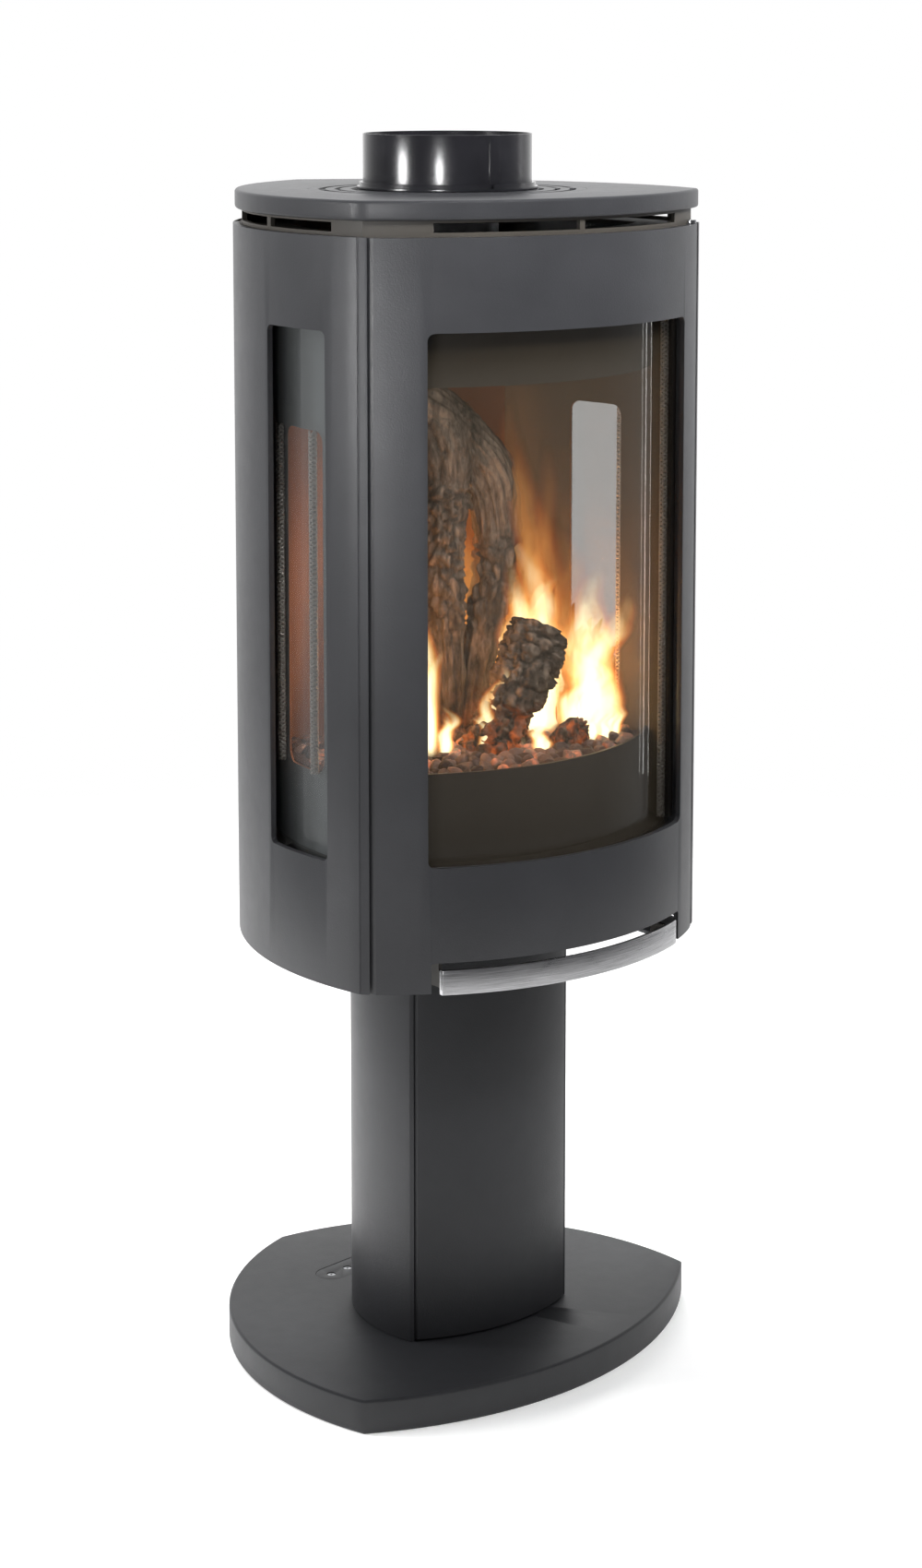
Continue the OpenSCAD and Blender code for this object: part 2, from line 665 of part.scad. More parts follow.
// Depth of the pin bores in the door
pin_h = 14;
module front_door_panel() {
  color("#3b3c40") difference() {
    union() {
      at_z(body_z0, door_top - body_z0) difference() {
        front_strip(BODY, 0, panel_t, door_ts);
        flat_block(door_hinge[0], 300, -400, 300);
      }
      translate([door_hinge[0], door_hinge[1], body_z0])
        cylinder(r = knuckle_r, h = door_top - body_z0, $fn = 48);
    }
    window_cut_front(front_win_half_w, win_z0, win_h, win_r);
    translate([0, 0, body_z0 - 10]) rotate([90, 0, 0]) linear_extrude(400)
      round_rect(2 * notch_half_w, notch_h + 10, 3);
    for (z = [body_z0 - 1, door_top - pin_h]) translate([door_hinge[0], door_hinge[1], z])
      cylinder(r = hinge_pin_r + run, h = pin_h + 1, $fn = 32);
  }
}
module door_hinge_pins() {
  hx = door_hinge[0];
  hy = door_hinge[1];
  color("#8c8e92") {
    // Upper pin hangs by its head in the spacer frame
    translate([hx, hy, door_top - pin_h + 1]) cylinder(r = hinge_pin_r, h = pin_h + pass - 1, $fn = 32);
    translate([hx, hy, body_z1]) cylinder(r = pin_head_r, h = pin_head_t, $fn = 32);
    // Lower pin stands on a tab from the body floor
    translate([hx, hy, body_z0 - pass - 3]) cylinder(r = hinge_pin_r, h = pin_h + 2, $fn = 32);
    difference() {
      at_z(body_z0 - pass - 4, 3.5) plan(BODY, panel_t + 1, panel_t);
      block(-300, hx - 40, -400, 400, 0, 600);
      block(hx - 60, 300, hy + 44, 400, 0, 600);
    }
  }
}
arm_x = handle_half_w - 8.8;
arm_half = 2;
bracket_x = arm_x - 12;
bracket_plate_half = 2.5;
shaft_y = front_y(BODY, arm_x, panel_t) + 17;
shaft_z = body_z0 + 68;
shaft_r = 3;
shaft_half = arm_x + 5;
handle_z0 = body_z0 - 1.4;
// The bar stands this far out past the door's face
handle_out = 2;
module handle_bracket() {
  color("#2c2d30") for (s = [-1, 1]) difference() {
    block(s * bracket_x - bracket_plate_half, s * bracket_x + bracket_plate_half,
      front_y(BODY, bracket_x + bracket_plate_half, panel_t) + seat, shaft_y + 7, shaft_z - 8,
        shaft_z + 12);
    translate([s * bracket_x - 5, shaft_y, shaft_z]) rotate([0, 90, 0])
      cylinder(r = shaft_r + run, h = 10, $fn = 32);
  }
}
module handle_shaft() {
  color("#9a9ca0") translate([-shaft_half, shaft_y, shaft_z]) rotate([0, 90, 0])
    cylinder(r = shaft_r, h = 2 * shaft_half, $fn = 32);
}
module handle_bar() {
  color("#c9cacc") intersection() {
    at_z(handle_z0, handle_h) difference() {
      front_disc(BODY, -handle_out);
      front_disc(BODY, handle_t - handle_out);
    }
    block(-handle_half_w, handle_half_w, -400, 0, 0, 600);
  }
}
module handle_arms() {
  y0 = front_y(BODY, arm_x + arm_half, handle_t - handle_out);
  color("#2c2d30") for (s = [-1, 1]) difference() {
    union() {
      block(s * arm_x - arm_half, s * arm_x + arm_half, y0, shaft_y + 6, body_z0 + 2, body_z0 + 18);
      block(s * arm_x - arm_half, s * arm_x + arm_half, shaft_y - 6, shaft_y + 6, body_z0 + 2, shaft_z + 6);
    }
    translate([s * arm_x - 5, shaft_y, shaft_z]) rotate([0, 90, 0])
      cylinder(r = shaft_r + 0.02, h = 10, $fn = 32);
  }
}
latch_x = [-100, -80];
latch_t = 3;
module latch_catch() {
  top = floor_z1 - floor_t - seat;
  color("#8c8e92") {
    block(latch_x[0], latch_x[1], shaft_y + 6, shaft_y + 46, top - latch_t, top);
    block(latch_x[0], latch_x[1], shaft_y + 6, shaft_y + 6 + latch_t, top - 12, top);
  }
}

// Firebox -----------------------------------------------------------------------
// Posts that hold the front and side glass at the two front corners
post_r = 7;
// Openings in the firebox sides, level with the ember bed
side_open_y0 = -50;
side_open_w = 72;
side_open_z0 = bed_top;
side_open_h = 334;
side_open_r = 12;
module firebox_floor() {
  color("#2c2d30") difference() {
    at_z(box_z0, sheet_t) intersection() {
      plan(BODY, glass_inset + glass_t + 4, firebox_inset - seat);
      flat_block(-300, 300, -400, firebox_back_y + sheet_t);
    }
    translate([0, pipe_y, box_z0 - 5]) cylinder(r = burner_pipe_r + 3.4, h = 20);
  }
}
module firebox_back() {
  w = side_x(BODY, firebox_back_y + sheet_t, firebox_inset + sheet_t) - seat;
  color("#5a4030") difference() {
    block(-w, w, firebox_back_y, firebox_back_y + sheet_t, box_z0 + sheet_t + seat, box_z1 - seat);
    for (z = [box_z0 + 90 : 70 : box_z0 + 440])
      block(-w + 40, w - 40, firebox_back_y - 1, firebox_back_y + 0.8, z, z + 3);
  }
}
module firebox_side(s) {
  difference() {
    at_z(box_z0 + sheet_t + seat, box_z1 - box_z0 - sheet_t - 2 * seat) difference() {
      side_strip(BODY, firebox_inset, firebox_inset + sheet_t, glass_inset + 8 + post_r + 1, s);
      flat_block(-400, 400, firebox_back_y + sheet_t, 400);
    }
    window_cut_side(side_open_y0, side_open_w, side_open_z0, side_open_h, side_open_r, s);
  }
}
module firebox_side_left() { color("#4a3c32") firebox_side(-1); }
module firebox_side_right() { color("#4a3c32") firebox_side(1); }
module firebox_top() {
  color("#2c2d30") difference() {
    at_z(box_z1, sheet_t) intersection() {
      plan(BODY, glass_inset + glass_t + 4, firebox_inset - seat);
      flat_block(-300, 300, -400, firebox_back_y + sheet_t);
    }
    translate([0, 0, box_z1 - 5]) cylinder(r = inner_flue_r - 1, h = 20);
  }
}
module lower_apron() {
  color("#26272a") at_z(box_z0 + sheet_t + seat, bed_top + 8 - box_z0 - sheet_t - seat)
    front_strip(BODY, apron_inset, apron_inset + sheet_t + 1, firebox_inset + sheet_t + seat);
}
module upper_apron() {
  color("#26272a") at_z(body_z0 + upper_apron_z, box_z1 - seat - body_z0 - upper_apron_z)
    front_strip(BODY, apron_inset, apron_inset + sheet_t + 1, firebox_inset + sheet_t + seat);
}
module corner_posts() {
  post_p = corner(BODY, glass_inset + 8, glass_inset + 10);
  color("#232426") for (s = [-1, 1]) at_z(box_z0 + sheet_t + seat, box_z1 - box_z0 - sheet_t - 2 * seat)
    translate([s * post_p[0], post_p[1]]) circle(r = post_r, $fn = 32);
}
// How far each side pane runs back past its window: left, unused, right
pane_rear = [38, 0, 10];
glass_z0 = win_z0 - 8;
glass_z1 = win_z1 + 3;
module front_glass() {
  color("#8a7f66", 0.35) at_z(glass_z0, glass_z1 - glass_z0) intersection() {
    front_strip(BODY, glass_inset, glass_inset + glass_t, glass_inset);
    flat_block(-front_win_half_w - 12, front_win_half_w + 12, -400, 0);
  }
}
module side_glass(s) {
  at_z(glass_z0, glass_z1 - glass_z0) intersection() {
    side_strip(BODY, glass_inset, glass_inset + glass_t, glass_inset, s);
    flat_block(-300, 300, min(side_win_y0[s + 1], side_open_y0) - 10,
      side_win_y0[s + 1] + side_win_w + pane_rear[s + 1]);
  }
}
module left_glass() { color("#8a7f66", 0.35) side_glass(-1); }
module right_glass() { color("#8a7f66", 0.35) side_glass(1); }
gasket_r = 4.5;
// How far the front ropes stand outside their window, and the side ropes behind their opening's edges
front_rope_out = 8;
side_rope_back = 9;
// Rope seals standing just behind the edges of each pane
module glass_gasket() {
  z0 = glass_z0 + 4;
  h = glass_z1 - glass_z0 - 8;
  t = glass_inset + glass_t + gasket_r + seat;
  color("#55554f") {
    for (s = [-1, 1]) {
      translate([s * (front_win_half_w + front_rope_out), front_y(BODY, front_win_half_w + front_rope_out, t), z0])
        cylinder(r = gasket_r, h = h, $fn = 24);
      for (y = [side_open_y0 + side_rope_back, side_open_y0 + side_open_w + side_rope_back])
        translate([s * side_x(BODY, y, t), y, side_open_z0])
          cylinder(r = gasket_r, h = side_open_h, $fn = 24);
    }
  }
}
module burner_tray() {
  color("#232426") difference() {
    at_z(box_z0 + sheet_t + seat, tray_h) intersection() {
      plan(BODY, apron_inset + 12, firebox_inset + 12);
      flat_block(-300, 300, -400, firebox_back_y - 6);
    }
    at_z(box_z0 + sheet_t + 3, tray_h) intersection() {
      plan(BODY, apron_inset + 15, firebox_inset + 15);
      flat_block(-300, 300, -400, firebox_back_y - 9);
    }
    translate([0, pipe_y, box_z0 - 5]) cylinder(r = burner_pipe_r + 1.4, h = 20);
  }
}
// Pilot jet, with its flame sensor to its left
pilot = [-60, -70, box_z0 + 6];
sensor_dx = -12;
module pilot_burner() {
  color("#b9bbbe") translate(pilot) {
    cylinder(r = 4, h = 62, $fn = 24);
    translate([sensor_dx, 0, 0]) cylinder(r = 2.5, h = 66, $fn = 24);
    block(sensor_dx - 4, 6, -6, 6, -0.6, 4);
  }
}
module ember_bed() {
  color("#6b5a4e") difference() {
    at_z(box_z0 + sheet_t + tray_h + 2 * seat, bed_top + 4 - box_z0 - sheet_t - tray_h) intersection() {
      plan(BODY, apron_inset + 5, firebox_inset + 5);
      flat_block(-300, 300, -400, firebox_back_y - 3);
    }
    translate([pilot[0] + sensor_dx / 2, pilot[1], box_z0]) cylinder(r = 16, h = 200, $fn = 32);
  }
}
log_z = bed_top + 5;
// Height of the chamber between the ember bed and the upper apron, for the logs to fill
log_k = (upper_apron_z - bed_z) / 380;
// Logs as points [x, y, height above the bed, radius]
fork_trunk = [
  [22, 30, 0, 16], [22, 31, 60, 19], [19, 33, 120, 21],
  [19, 35, 180, 21], [22, 38, 240, 20], [22, 40, 266, 18]];
fork_arm = [
  [54, 24, 0, 12], [66, 27, 40, 15], [77, 29, 85, 17], [86, 32, 140, 21], [92, 34, 185, 22],
  [90, 36, 225, 24], [80, 38, 262, 30], [60, 40, 292, 31], [26, 42, 318, 28], [-2, 44, 340, 24]];
rear_limb = [[-84, 10, 0, 20], [-74, 22, 90, 19], [-60, 34, 170, 18], [-64, 44, 265, 15]];
stub_limb = [[8, -64, 0, 20], [46, -60, 62, 24], [80, -56, 120, 20]];
function lift_log(pts) = [for (q = pts) [q[0], q[1], log_z + q[2] * log_k, q[3]]];
module log_fork() {
  color("#6a5238") {
    limb(lift_log(fork_trunk));
    limb(lift_log(fork_arm));
  }
}
module log_rear() { color("#5a4632") limb(lift_log(rear_limb)); }
module log_stub() { color("#3a2c22") limb(lift_log(stub_limb)); }

base_plate();
base_cover();
cover_screws();
floor_pads();
glide_ring();
swivel_spindle();
swivel_stop_pin();
swivel_plate();
pedestal_left();
pedestal_right();
pedestal_header();
pedestal_hinge_pins();
pedestal_magnet();
pedestal_door();
valve_bracket();
gas_valve();
gas_inlet_pipe();
burner_pipe();
receiver_box();
control_knob();
flame_knob();
igniter_button();
receiver_switch();
body_floor();
floor_bolts();
side_panel_left();
side_panel_right();
rear_cover();
top_frame();
front_door_panel();
door_hinge_pins();
handle_bracket();
handle_bar();
handle_arms();
handle_shaft();
latch_catch();
firebox_floor();
firebox_back();
firebox_side_left();
firebox_side_right();
firebox_top();
lower_apron();
upper_apron();
corner_posts();
front_glass();
left_glass();
right_glass();
glass_gasket();
burner_tray();
pilot_burner();
ember_bed();
log_fork();
log_rear();
log_stub();
spacer_frame();
top_plate();
top_grille();
flue_collar();
flue_pipe();
inner_flue_pipe();
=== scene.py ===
import json
import math

import bmesh
import bpy
from mathutils import Matrix, Vector, noise
from mathutils.bvhtree import BVHTree

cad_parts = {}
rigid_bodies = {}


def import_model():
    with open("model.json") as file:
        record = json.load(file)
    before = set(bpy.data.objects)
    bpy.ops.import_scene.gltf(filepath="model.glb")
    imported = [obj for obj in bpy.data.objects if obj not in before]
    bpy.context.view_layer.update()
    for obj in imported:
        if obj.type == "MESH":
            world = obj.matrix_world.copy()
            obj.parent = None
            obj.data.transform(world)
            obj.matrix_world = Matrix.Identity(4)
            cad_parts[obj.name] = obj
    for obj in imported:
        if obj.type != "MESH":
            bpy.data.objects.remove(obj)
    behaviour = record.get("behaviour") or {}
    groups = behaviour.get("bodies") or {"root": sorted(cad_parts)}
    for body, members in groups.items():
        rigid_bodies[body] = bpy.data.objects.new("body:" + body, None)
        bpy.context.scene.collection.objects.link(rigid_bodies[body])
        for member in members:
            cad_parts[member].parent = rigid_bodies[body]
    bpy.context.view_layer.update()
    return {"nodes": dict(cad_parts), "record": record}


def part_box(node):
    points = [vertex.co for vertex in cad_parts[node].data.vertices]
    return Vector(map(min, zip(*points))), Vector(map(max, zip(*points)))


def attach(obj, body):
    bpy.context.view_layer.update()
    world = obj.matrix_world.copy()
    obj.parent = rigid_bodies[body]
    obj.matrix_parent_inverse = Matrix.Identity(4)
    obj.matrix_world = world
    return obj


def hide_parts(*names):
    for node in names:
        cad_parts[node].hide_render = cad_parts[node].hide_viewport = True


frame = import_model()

bl_info = {
    "name": "Pedestal Fire Stove",
    "version": (1, 0, 0),
    "blender": (4, 5, 0),
    "location": "View3D > Sidebar > Stove",
    "description": "Finishes, logs, embers, flames, rope seals and stage for a pedestal fire stove",
    "category": "Add Mesh",
}

MM = 0.001
BED_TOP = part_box("ember_bed")[1].z
APRON_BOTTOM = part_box("upper_apron")[0].z

# CAD meshes: points this near are one, in metres; then in degrees, the angle under which faces are joined,
# over which edges are eased and over which they are shaded as corners; and the faces across an eased edge
WELD_GAP = 2e-6
FLAT_ANGLE = 0.4
EASED_ANGLE = 35
CORNER_ANGLE = 32
EASED_STEPS = 3

# Glow of hot cracks and hot pebbles
NO_GLOW = (0, 0, 0)
EMBER_GLOW = (1.0, 0.20, 0.03)

# Pebbles: seeds, greatest turn about each axis in radians, least and greatest stretch, most pebbles in a
# square metre, and how fine and how deep their dents are
SPREAD_SEED, TURN_SEED, STRETCH_SEED, TONE_SEED = 4, 3, 5, 9
PEBBLE_TURN = (6.28, 6.28, 6.28)
PEBBLE_STRETCH = (0.75, 0.68, 0.55), (1.25, 1.1, 0.9)
PEBBLE_DENSITY = 60000.0
PEBBLE_DENT_SCALE = 95.0
PEBBLE_DENT = 0.008
# Pebbles sit on the bed's top, drawn in from its rim and let down, with the fill under them lower
BED_SHRINK = 0.93
PEBBLE_DROP = 0.0055
FILL_DROP = 0.004

# Rope seals: strands each way, corners of a strand and points in one turn
ROPE_STRANDS = 3
STRAND_CORNERS = 5
STRAND_POINTS = 9

# Logs: rings along a log, points round it, and rings over which its ends round off
LOG_RINGS = 150
LOG_SIDES = 72
LOG_CAP_RINGS = 4

# Flames: faces across and up a sheet, depth of its foot in the bed, and step of the seed between layers
FLAME_ACROSS = 10
FLAME_UP = 26
FLAME_FOOT = 0.004
LAYER_STEP = 0.13

# Rear cover's screws: number down each side, gap at each end, distance in from the cover's front edge, and
# height of a head as a share of its radius
SCREWS_A_SIDE = 6
SCREW_END_GAP = 0.035
SCREW_INSET = 0.020
SCREW_FLATNESS = 0.42


# ---- shader tools

class Wire:
    """A shader socket. Arithmetic on it adds Math nodes to its material."""

    def __init__(self, paint, socket):
        self.paint = paint
        self.socket = socket

    def _math(self, operation, a, b):
        made = self.paint.node("ShaderNodeMath", {"operation": operation}, {0: a, 1: b})
        return Wire(self.paint, made.outputs[0])

    def __add__(self, other):
        return self._math("ADD", self, other)

    __radd__ = __add__

    def __mul__(self, other):
        return self._math("MULTIPLY", self, other)

    __rmul__ = __mul__

    def __sub__(self, other):
        return self._math("SUBTRACT", self, other)

    def __rsub__(self, other):
        return self._math("SUBTRACT", other, self)

    def __pow__(self, other):
        return self._math("POWER", self, other)

    def clamp(self):
        made = self.paint.node("ShaderNodeClamp", {}, {0: self})
        return Wire(self.paint, made.outputs[0])


class Paint:
    """One procedural material and the nodes that it is made of."""

    def __init__(self, name):
        self.material = bpy.data.materials.new(name)
        self.material.use_nodes = True
        self.tree = self.material.node_tree
        self.tree.nodes.clear()
        self.out = self.tree.nodes.new("ShaderNodeOutputMaterial")

    def node(self, kind, settings, sockets):
        made = self.tree.nodes.new(kind)
        for key, value in settings.items():
            if key == "stops":
                self._set_stops(made.color_ramp, value)
            else:
                setattr(made, key, value)
        for key, value in sockets.items():
            if isinstance(value, Wire):
                self.tree.links.new(value.socket, made.inputs[key])
            else:
                made.inputs[key].default_value = value
        return made

    def _set_stops(self, ramp, stops):
        while len(ramp.elements) > 1:
            ramp.elements.remove(ramp.elements[0])
        ramp.elements[0].position = stops[0][0]
        ramp.elements[0].color = rgba(stops[0][1])
        for place, colour in stops[1:]:
            ramp.elements.new(place).color = rgba(colour)

    def wire(self, made, output=0):
        return Wire(self, made.outputs[output])

    def where(self, scale=(1, 1, 1)):
        """Object coordinates, stretched by scale."""
        here = self.wire(self.node("ShaderNodeTexCoord", {}, {}), "Object")
        return self.wire(self.node("ShaderNodeMapping", {}, {"Vector": here, "Scale": scale}))

    def noise(self, vector, scale, detail=4.0, roughness=0.55):
        made = self.node("ShaderNodeTexNoise", {},
                         {"Vector": vector, "Scale": scale, "Detail": detail, "Roughness": roughness})
        return self.wire(made)

    def ramp(self, value, stops):
        return self.wire(self.node("ShaderNodeValToRGB", {"stops": stops}, {0: value}))

    def blend(self, factor, a, b):
        """The colours a and b mixed by factor."""
        a, b = (one if isinstance(one, Wire) else rgba(one) for one in (a, b))
        return self.wire(self.node("ShaderNodeMix", {"data_type": "RGBA"}, {0: factor, 6: a, 7: b}), 2)

    def split(self, vector):
        made = self.node("ShaderNodeSeparateXYZ", {}, {0: vector})
        return [self.wire(made, i) for i in range(3)]

    def bump(self, height, distance, strength=1.0):
        return self.wire(self.node("ShaderNodeBump", {},
                                   {"Height": height, "Distance": distance, "Strength": strength}))

    def principled(self, **sockets):
        named = {key.replace("_", " "): value for key, value in sockets.items()}
        return self.node("ShaderNodeBsdfPrincipled", {}, named)

    def surface(self, **sockets):
        """The finished material of one principled shader."""
        return self.finish(self.principled(**sockets))

    def finish(self, shader):
        self.tree.links.new(shader.outputs[0], self.out.inputs["Surface"])
        return self.material


def rgba(colour):
    """A colour with full alpha, unless it has its own."""
    return tuple(colour) if len(colour) == 4 else (*colour, 1.0)


# ---- materials

def enamel(name, colour, roughness, grain=0.00016):
    """Satin stove enamel over a cast or pressed surface."""
    p = Paint(name)
    here = p.where()
    cloud = p.noise(here, 7.0, 5.0)
    speck = p.noise(here, 620.0, 2.0)
    tone = p.ramp(cloud * 0.8 + speck * 0.2,
                  [(0.3, [c * 0.8 for c in colour]), (0.7, [c * 1.2 for c in colour])])
    rough = p.noise(here, 60.0, 3.0) * 0.08 + speck * 0.06 + (roughness - 0.07)
    return p.surface(Base_Color=tone, Roughness=rough, Specular_IOR_Level=0.5, Normal=p.bump(speck, grain))


def fire_brown(name):
    """Sheet browned by heat: darker towards the top, olive on the side walls, and pale grey on the outer
    faces, where the grey paint is lifted into painted reflection and painted light that these shadowed faces
    don't get.
    """
    p = Paint(name)
    here = p.where()
    height = p.split(here)[2]
    rise = (height - BED_TOP) * (1 / (APRON_BOTTOM - BED_TOP))
    # Darker and browner towards the top of the firebox, broken up by cloudy noise
    upward_darkening = (rise + p.noise(here, 9.0, 4.0) * 0.6 - 0.3).clamp()
    streak = p.noise(p.where((1, 1, 0.06)), 60.0, 4.0)
    tone = p.ramp(upward_darkening, [(0.0, (0.30, 0.125, 0.05)), (0.6, (0.20, 0.085, 0.036)),
                         (1.0, (0.12, 0.056, 0.028))])
    tone = p.blend(streak, tone, (0.10, 0.04, 0.02))
    facing = p.wire(p.node("ShaderNodeNewGeometry", {}, {}), "Normal")
    across = p.split(facing)[0]
    tone = p.blend((across * across * 1.6).clamp(), tone, (0.060, 0.050, 0.036))
    # Outer faces of the firebox walls: grey paint made pale as a painted reflection of the glass and painted
    # light, since these faces sit in shadow between side panel and firebox
    outward = (across * p.split(here)[0] * 40.0).clamp()
    tone = p.blend(outward, tone, (0.14, 0.15, 0.155))
    grit = p.noise(here, 400.0, 3.0)
    return p.surface(Base_Color=tone, Roughness=0.75, Normal=p.bump(grit, 0.0002))


def satin_flue(name):
    """Smooth black stove paint on the flue."""
    p = Paint(name)
    here = p.where()
    rough = p.noise(p.where((1, 1, 0.2)), 40.0, 3.0) * 0.06 + 0.17
    grit = p.noise(here, 900.0, 2.0)
    tone = p.ramp(p.noise(here, 25.0, 3.0), [(0.3, (0.005, 0.005, 0.006)), (0.7, (0.010, 0.010, 0.012))])
    return p.surface(Base_Color=tone, Roughness=rough, Specular_IOR_Level=0.7, Normal=p.bump(grit, 0.00003))


def brushed(name, colour):
    """Steel brushed along the bar."""
    p = Paint(name)
    lines = p.noise(p.where((25, 25, 2600)), 1.0, 4.0, 0.7)
    patch = p.noise(p.where((18, 18, 40)), 1.0, 3.0)
    tone = p.ramp(lines, [(0.3, [c * 0.42 for c in colour]), (0.7, [min(1, c * 1.15) for c in colour])])
    rough = lines * 0.14 + patch * 0.22 + 0.12
    return p.surface(Base_Color=tone, Metallic=1.0, Roughness=rough, Normal=p.bump(lines, 0.00006))


def plated(name, colour, roughness=0.35):
    """Plated, brass or die-cast metal with a cloudy tone."""
    p = Paint(name)
    patch = p.noise(p.where(), 120.0, 4.0)
    tone = p.ramp(patch, [(0.3, [c * 0.8 for c in colour]), (0.7, colour)])
    return p.surface(Base_Color=tone, Metallic=1.0, Roughness=patch * 0.2 + (roughness - 0.1))


def moulded(name, colour, roughness=0.45):
    """Moulded plastic or rubber with a fine grain."""
    p = Paint(name)
    here = p.where()
    tone = p.ramp(p.noise(here, 30.0), [(0.3, [c * 0.85 for c in colour]), (0.7, colour)])
    grain = p.noise(here, 1500.0, 2.0)
    return p.surface(Base_Color=tone, Roughness=roughness, Normal=p.bump(grain, 0.00005))


def tinted_glass(name, film_colour):
    """Ceramic glass: a faint tinted film that mirrors more at shallow angles. A pale film colour, as on the
    side panes, is partly a painted reflection.
    """
    p = Paint(name)
    facing = p.wire(p.node("ShaderNodeLayerWeight", {}, {"Blend": 0.5}), "Facing")
    film = p.principled(Base_Color=(*film_colour, 1), Roughness=0.05, Alpha=0.24, Specular_IOR_Level=0.2)
    shine = p.principled(Base_Color=(0.80, 0.80, 0.78, 1), Roughness=0.02, Metallic=1.0)
    smear = p.noise(p.where((30, 30, 4)), 1.0, 3.0) * 0.012
    haze = (smear + facing * facing * facing * 0.09 + 0.03).clamp()
    mix = p.node("ShaderNodeMixShader", {}, {0: haze})
    p.tree.links.new(film.outputs[0], mix.inputs[1])
    p.tree.links.new(shine.outputs[0], mix.inputs[2])
    return p.finish(mix)


def rope(name):
    """Pale glass-fibre strands."""
    p = Paint(name)
    here = p.where()
    fibre = p.noise(here, 1400.0, 3.0)
    tone = p.ramp(fibre, [(0.3, (0.13, 0.12, 0.11)), (0.7, (0.52, 0.50, 0.45))])
    return p.surface(Base_Color=tone, Roughness=0.85, Normal=p.bump(fibre, 0.0003))


def log_wood(name, pale, dark, glow):
    """Cast log: pale grain, dark fissures, and embers glowing in the cracks near the bed."""
    p = Paint(name)
    here = p.where((1, 1, 0.28))
    grain = p.noise(here, 150.0, 6.0, 0.65)
    fissure = p.wire(p.node("ShaderNodeAttribute", {"attribute_name": "fissure"}, {}), "Fac")
    streak = p.noise(here, 34.0, 4.0)
    shades = [(0.38, 0.12), (0.5, 0.55), (0.62, 1.35)]
    tone = p.ramp(grain * 0.6 + streak * 0.4, [(place, [c * share for c in pale]) for place, share in shades])
    ash = p.noise(p.where(), 260.0, 5.0, 0.7)
    tone = p.blend((ash * 3.0 - 1.6).clamp() * 0.45, tone, (0.26, 0.22, 0.17))
    tone = p.blend(fissure, tone, dark)
    height = p.split(p.where())[2]
    low = (1.0 - (height - BED_TOP) * 22.0).clamp()
    hot = (low * (p.noise(p.where(), 60.0, 3.0) * 3.0 - 1.3).clamp() * (fissure * 0.8 + 0.2)).clamp()
    ember = p.blend(hot, NO_GLOW, EMBER_GLOW)
    relief = grain * 0.6 + p.noise(p.where(), 420.0, 4.0) * 0.4
    return p.surface(Base_Color=tone, Roughness=0.85, Emission_Color=ember,
                     Emission_Strength=glow, Normal=p.bump(relief, 0.0016))


def pebble_stone(name):
    """Mixed grey-brown pebbles with a few hot ones."""
    p = Paint(name)
    here = p.where()
    kind = p.wire(p.node("ShaderNodeAttribute", {"attribute_name": "pebble_tone"}, {}), "Fac")
    tone = p.ramp(kind, [(0.0, (0.05, 0.032, 0.026)), (0.4, (0.13, 0.085, 0.068)),
                         (0.75, (0.21, 0.135, 0.105)), (1.0, (0.27, 0.21, 0.18))])
    speck = p.noise(here, 500.0, 3.0)
    rim = p.noise(here, 130.0, 3.0)
    hot = ((kind - 0.72) * 3.0 * (rim * 4.0 - 1.7).clamp()).clamp()
    ember = p.blend(hot, NO_GLOW, EMBER_GLOW)
    return p.surface(Base_Color=tone, Roughness=0.65, Emission_Color=ember, Emission_Strength=1.6,
                     Normal=p.bump(speck, 0.0005))


def flame_gas(name, strength, density, root, middle, tip):
    """A sheet of flame: u runs across it and v up it."""
    p = Paint(name)
    uv = p.wire(p.node("ShaderNodeUVMap", {"uv_map": "flame"}, {}))
    u, v = p.split(uv)[:2]
    lick = p.noise(p.where((1, 1, 0.22)), 62.0, 3.0)
    across = (1.0 - (u * 2.0 - 1.0) ** 2.0).clamp()
    heat = (across ** 1.6 * 1.1 + (lick - 0.5) * 0.9 - v * 0.62).clamp()
    colour = p.ramp(heat, [(0.0, tip), (0.3, middle), (0.72, root)])
    foot = (v * 9.0).clamp()
    crown = (1.0 - v ** 2.2).clamp()
    streak = (lick * 2.6 - 0.55).clamp()
    alpha = (across ** 2.3 * foot * crown ** 1.8 * (streak * 0.7 + 0.3) * density).clamp()
    return p.surface(Base_Color=(0, 0, 0, 1), Roughness=1.0, Specular_IOR_Level=0.0,
                     Emission_Color=colour, Emission_Strength=strength, Alpha=alpha)


def pale_floor(name, colour):
    """A pale floor that fades into the white studio with distance."""
    p = Paint(name)
    x, y, _ = p.split(p.where())
    far = (x * x + y * y) ** 0.5
    tone = p.ramp(p.noise(p.where(), 2.0), [(0.0, [c * 0.99 for c in colour]), (1.0, colour)])
    alpha = (1.35 - far * 0.55).clamp()
    return p.surface(Base_Color=tone, Roughness=0.65, Specular_IOR_Level=0.2, Alpha=alpha,
                     Emission_Color=tone, Emission_Strength=0.35)


# ---- mesh helpers

def add_object(name, mesh, material=None):
    """A new object in the scene, with the material as its only one."""
    made = bpy.data.objects.new(name, mesh)
    bpy.context.scene.collection.objects.link(made)
    if material:
        mesh.materials.clear()
        mesh.materials.append(material)
    return made


def smooth(mesh):
    """Smooth shading that keeps the corners."""
    mesh.shade_smooth()
    mesh.set_sharp_from_angle(angle=math.radians(CORNER_ANGLE))


def merged_copy(node):
    """A copy of a CAD node's mesh, and its welded bmesh."""
    mesh = frame["nodes"][node].data.copy()
    bm = bmesh.new()
    bm.from_mesh(mesh)
    bmesh.ops.remove_doubles(bm, verts=bm.verts, dist=WELD_GAP)
    return mesh, bm


def mesh_from(bm, name):
    """A new mesh from a bmesh, which is freed."""
    mesh = bpy.data.meshes.new(name)
    bm.to_mesh(mesh)
    bm.free()
    return mesh


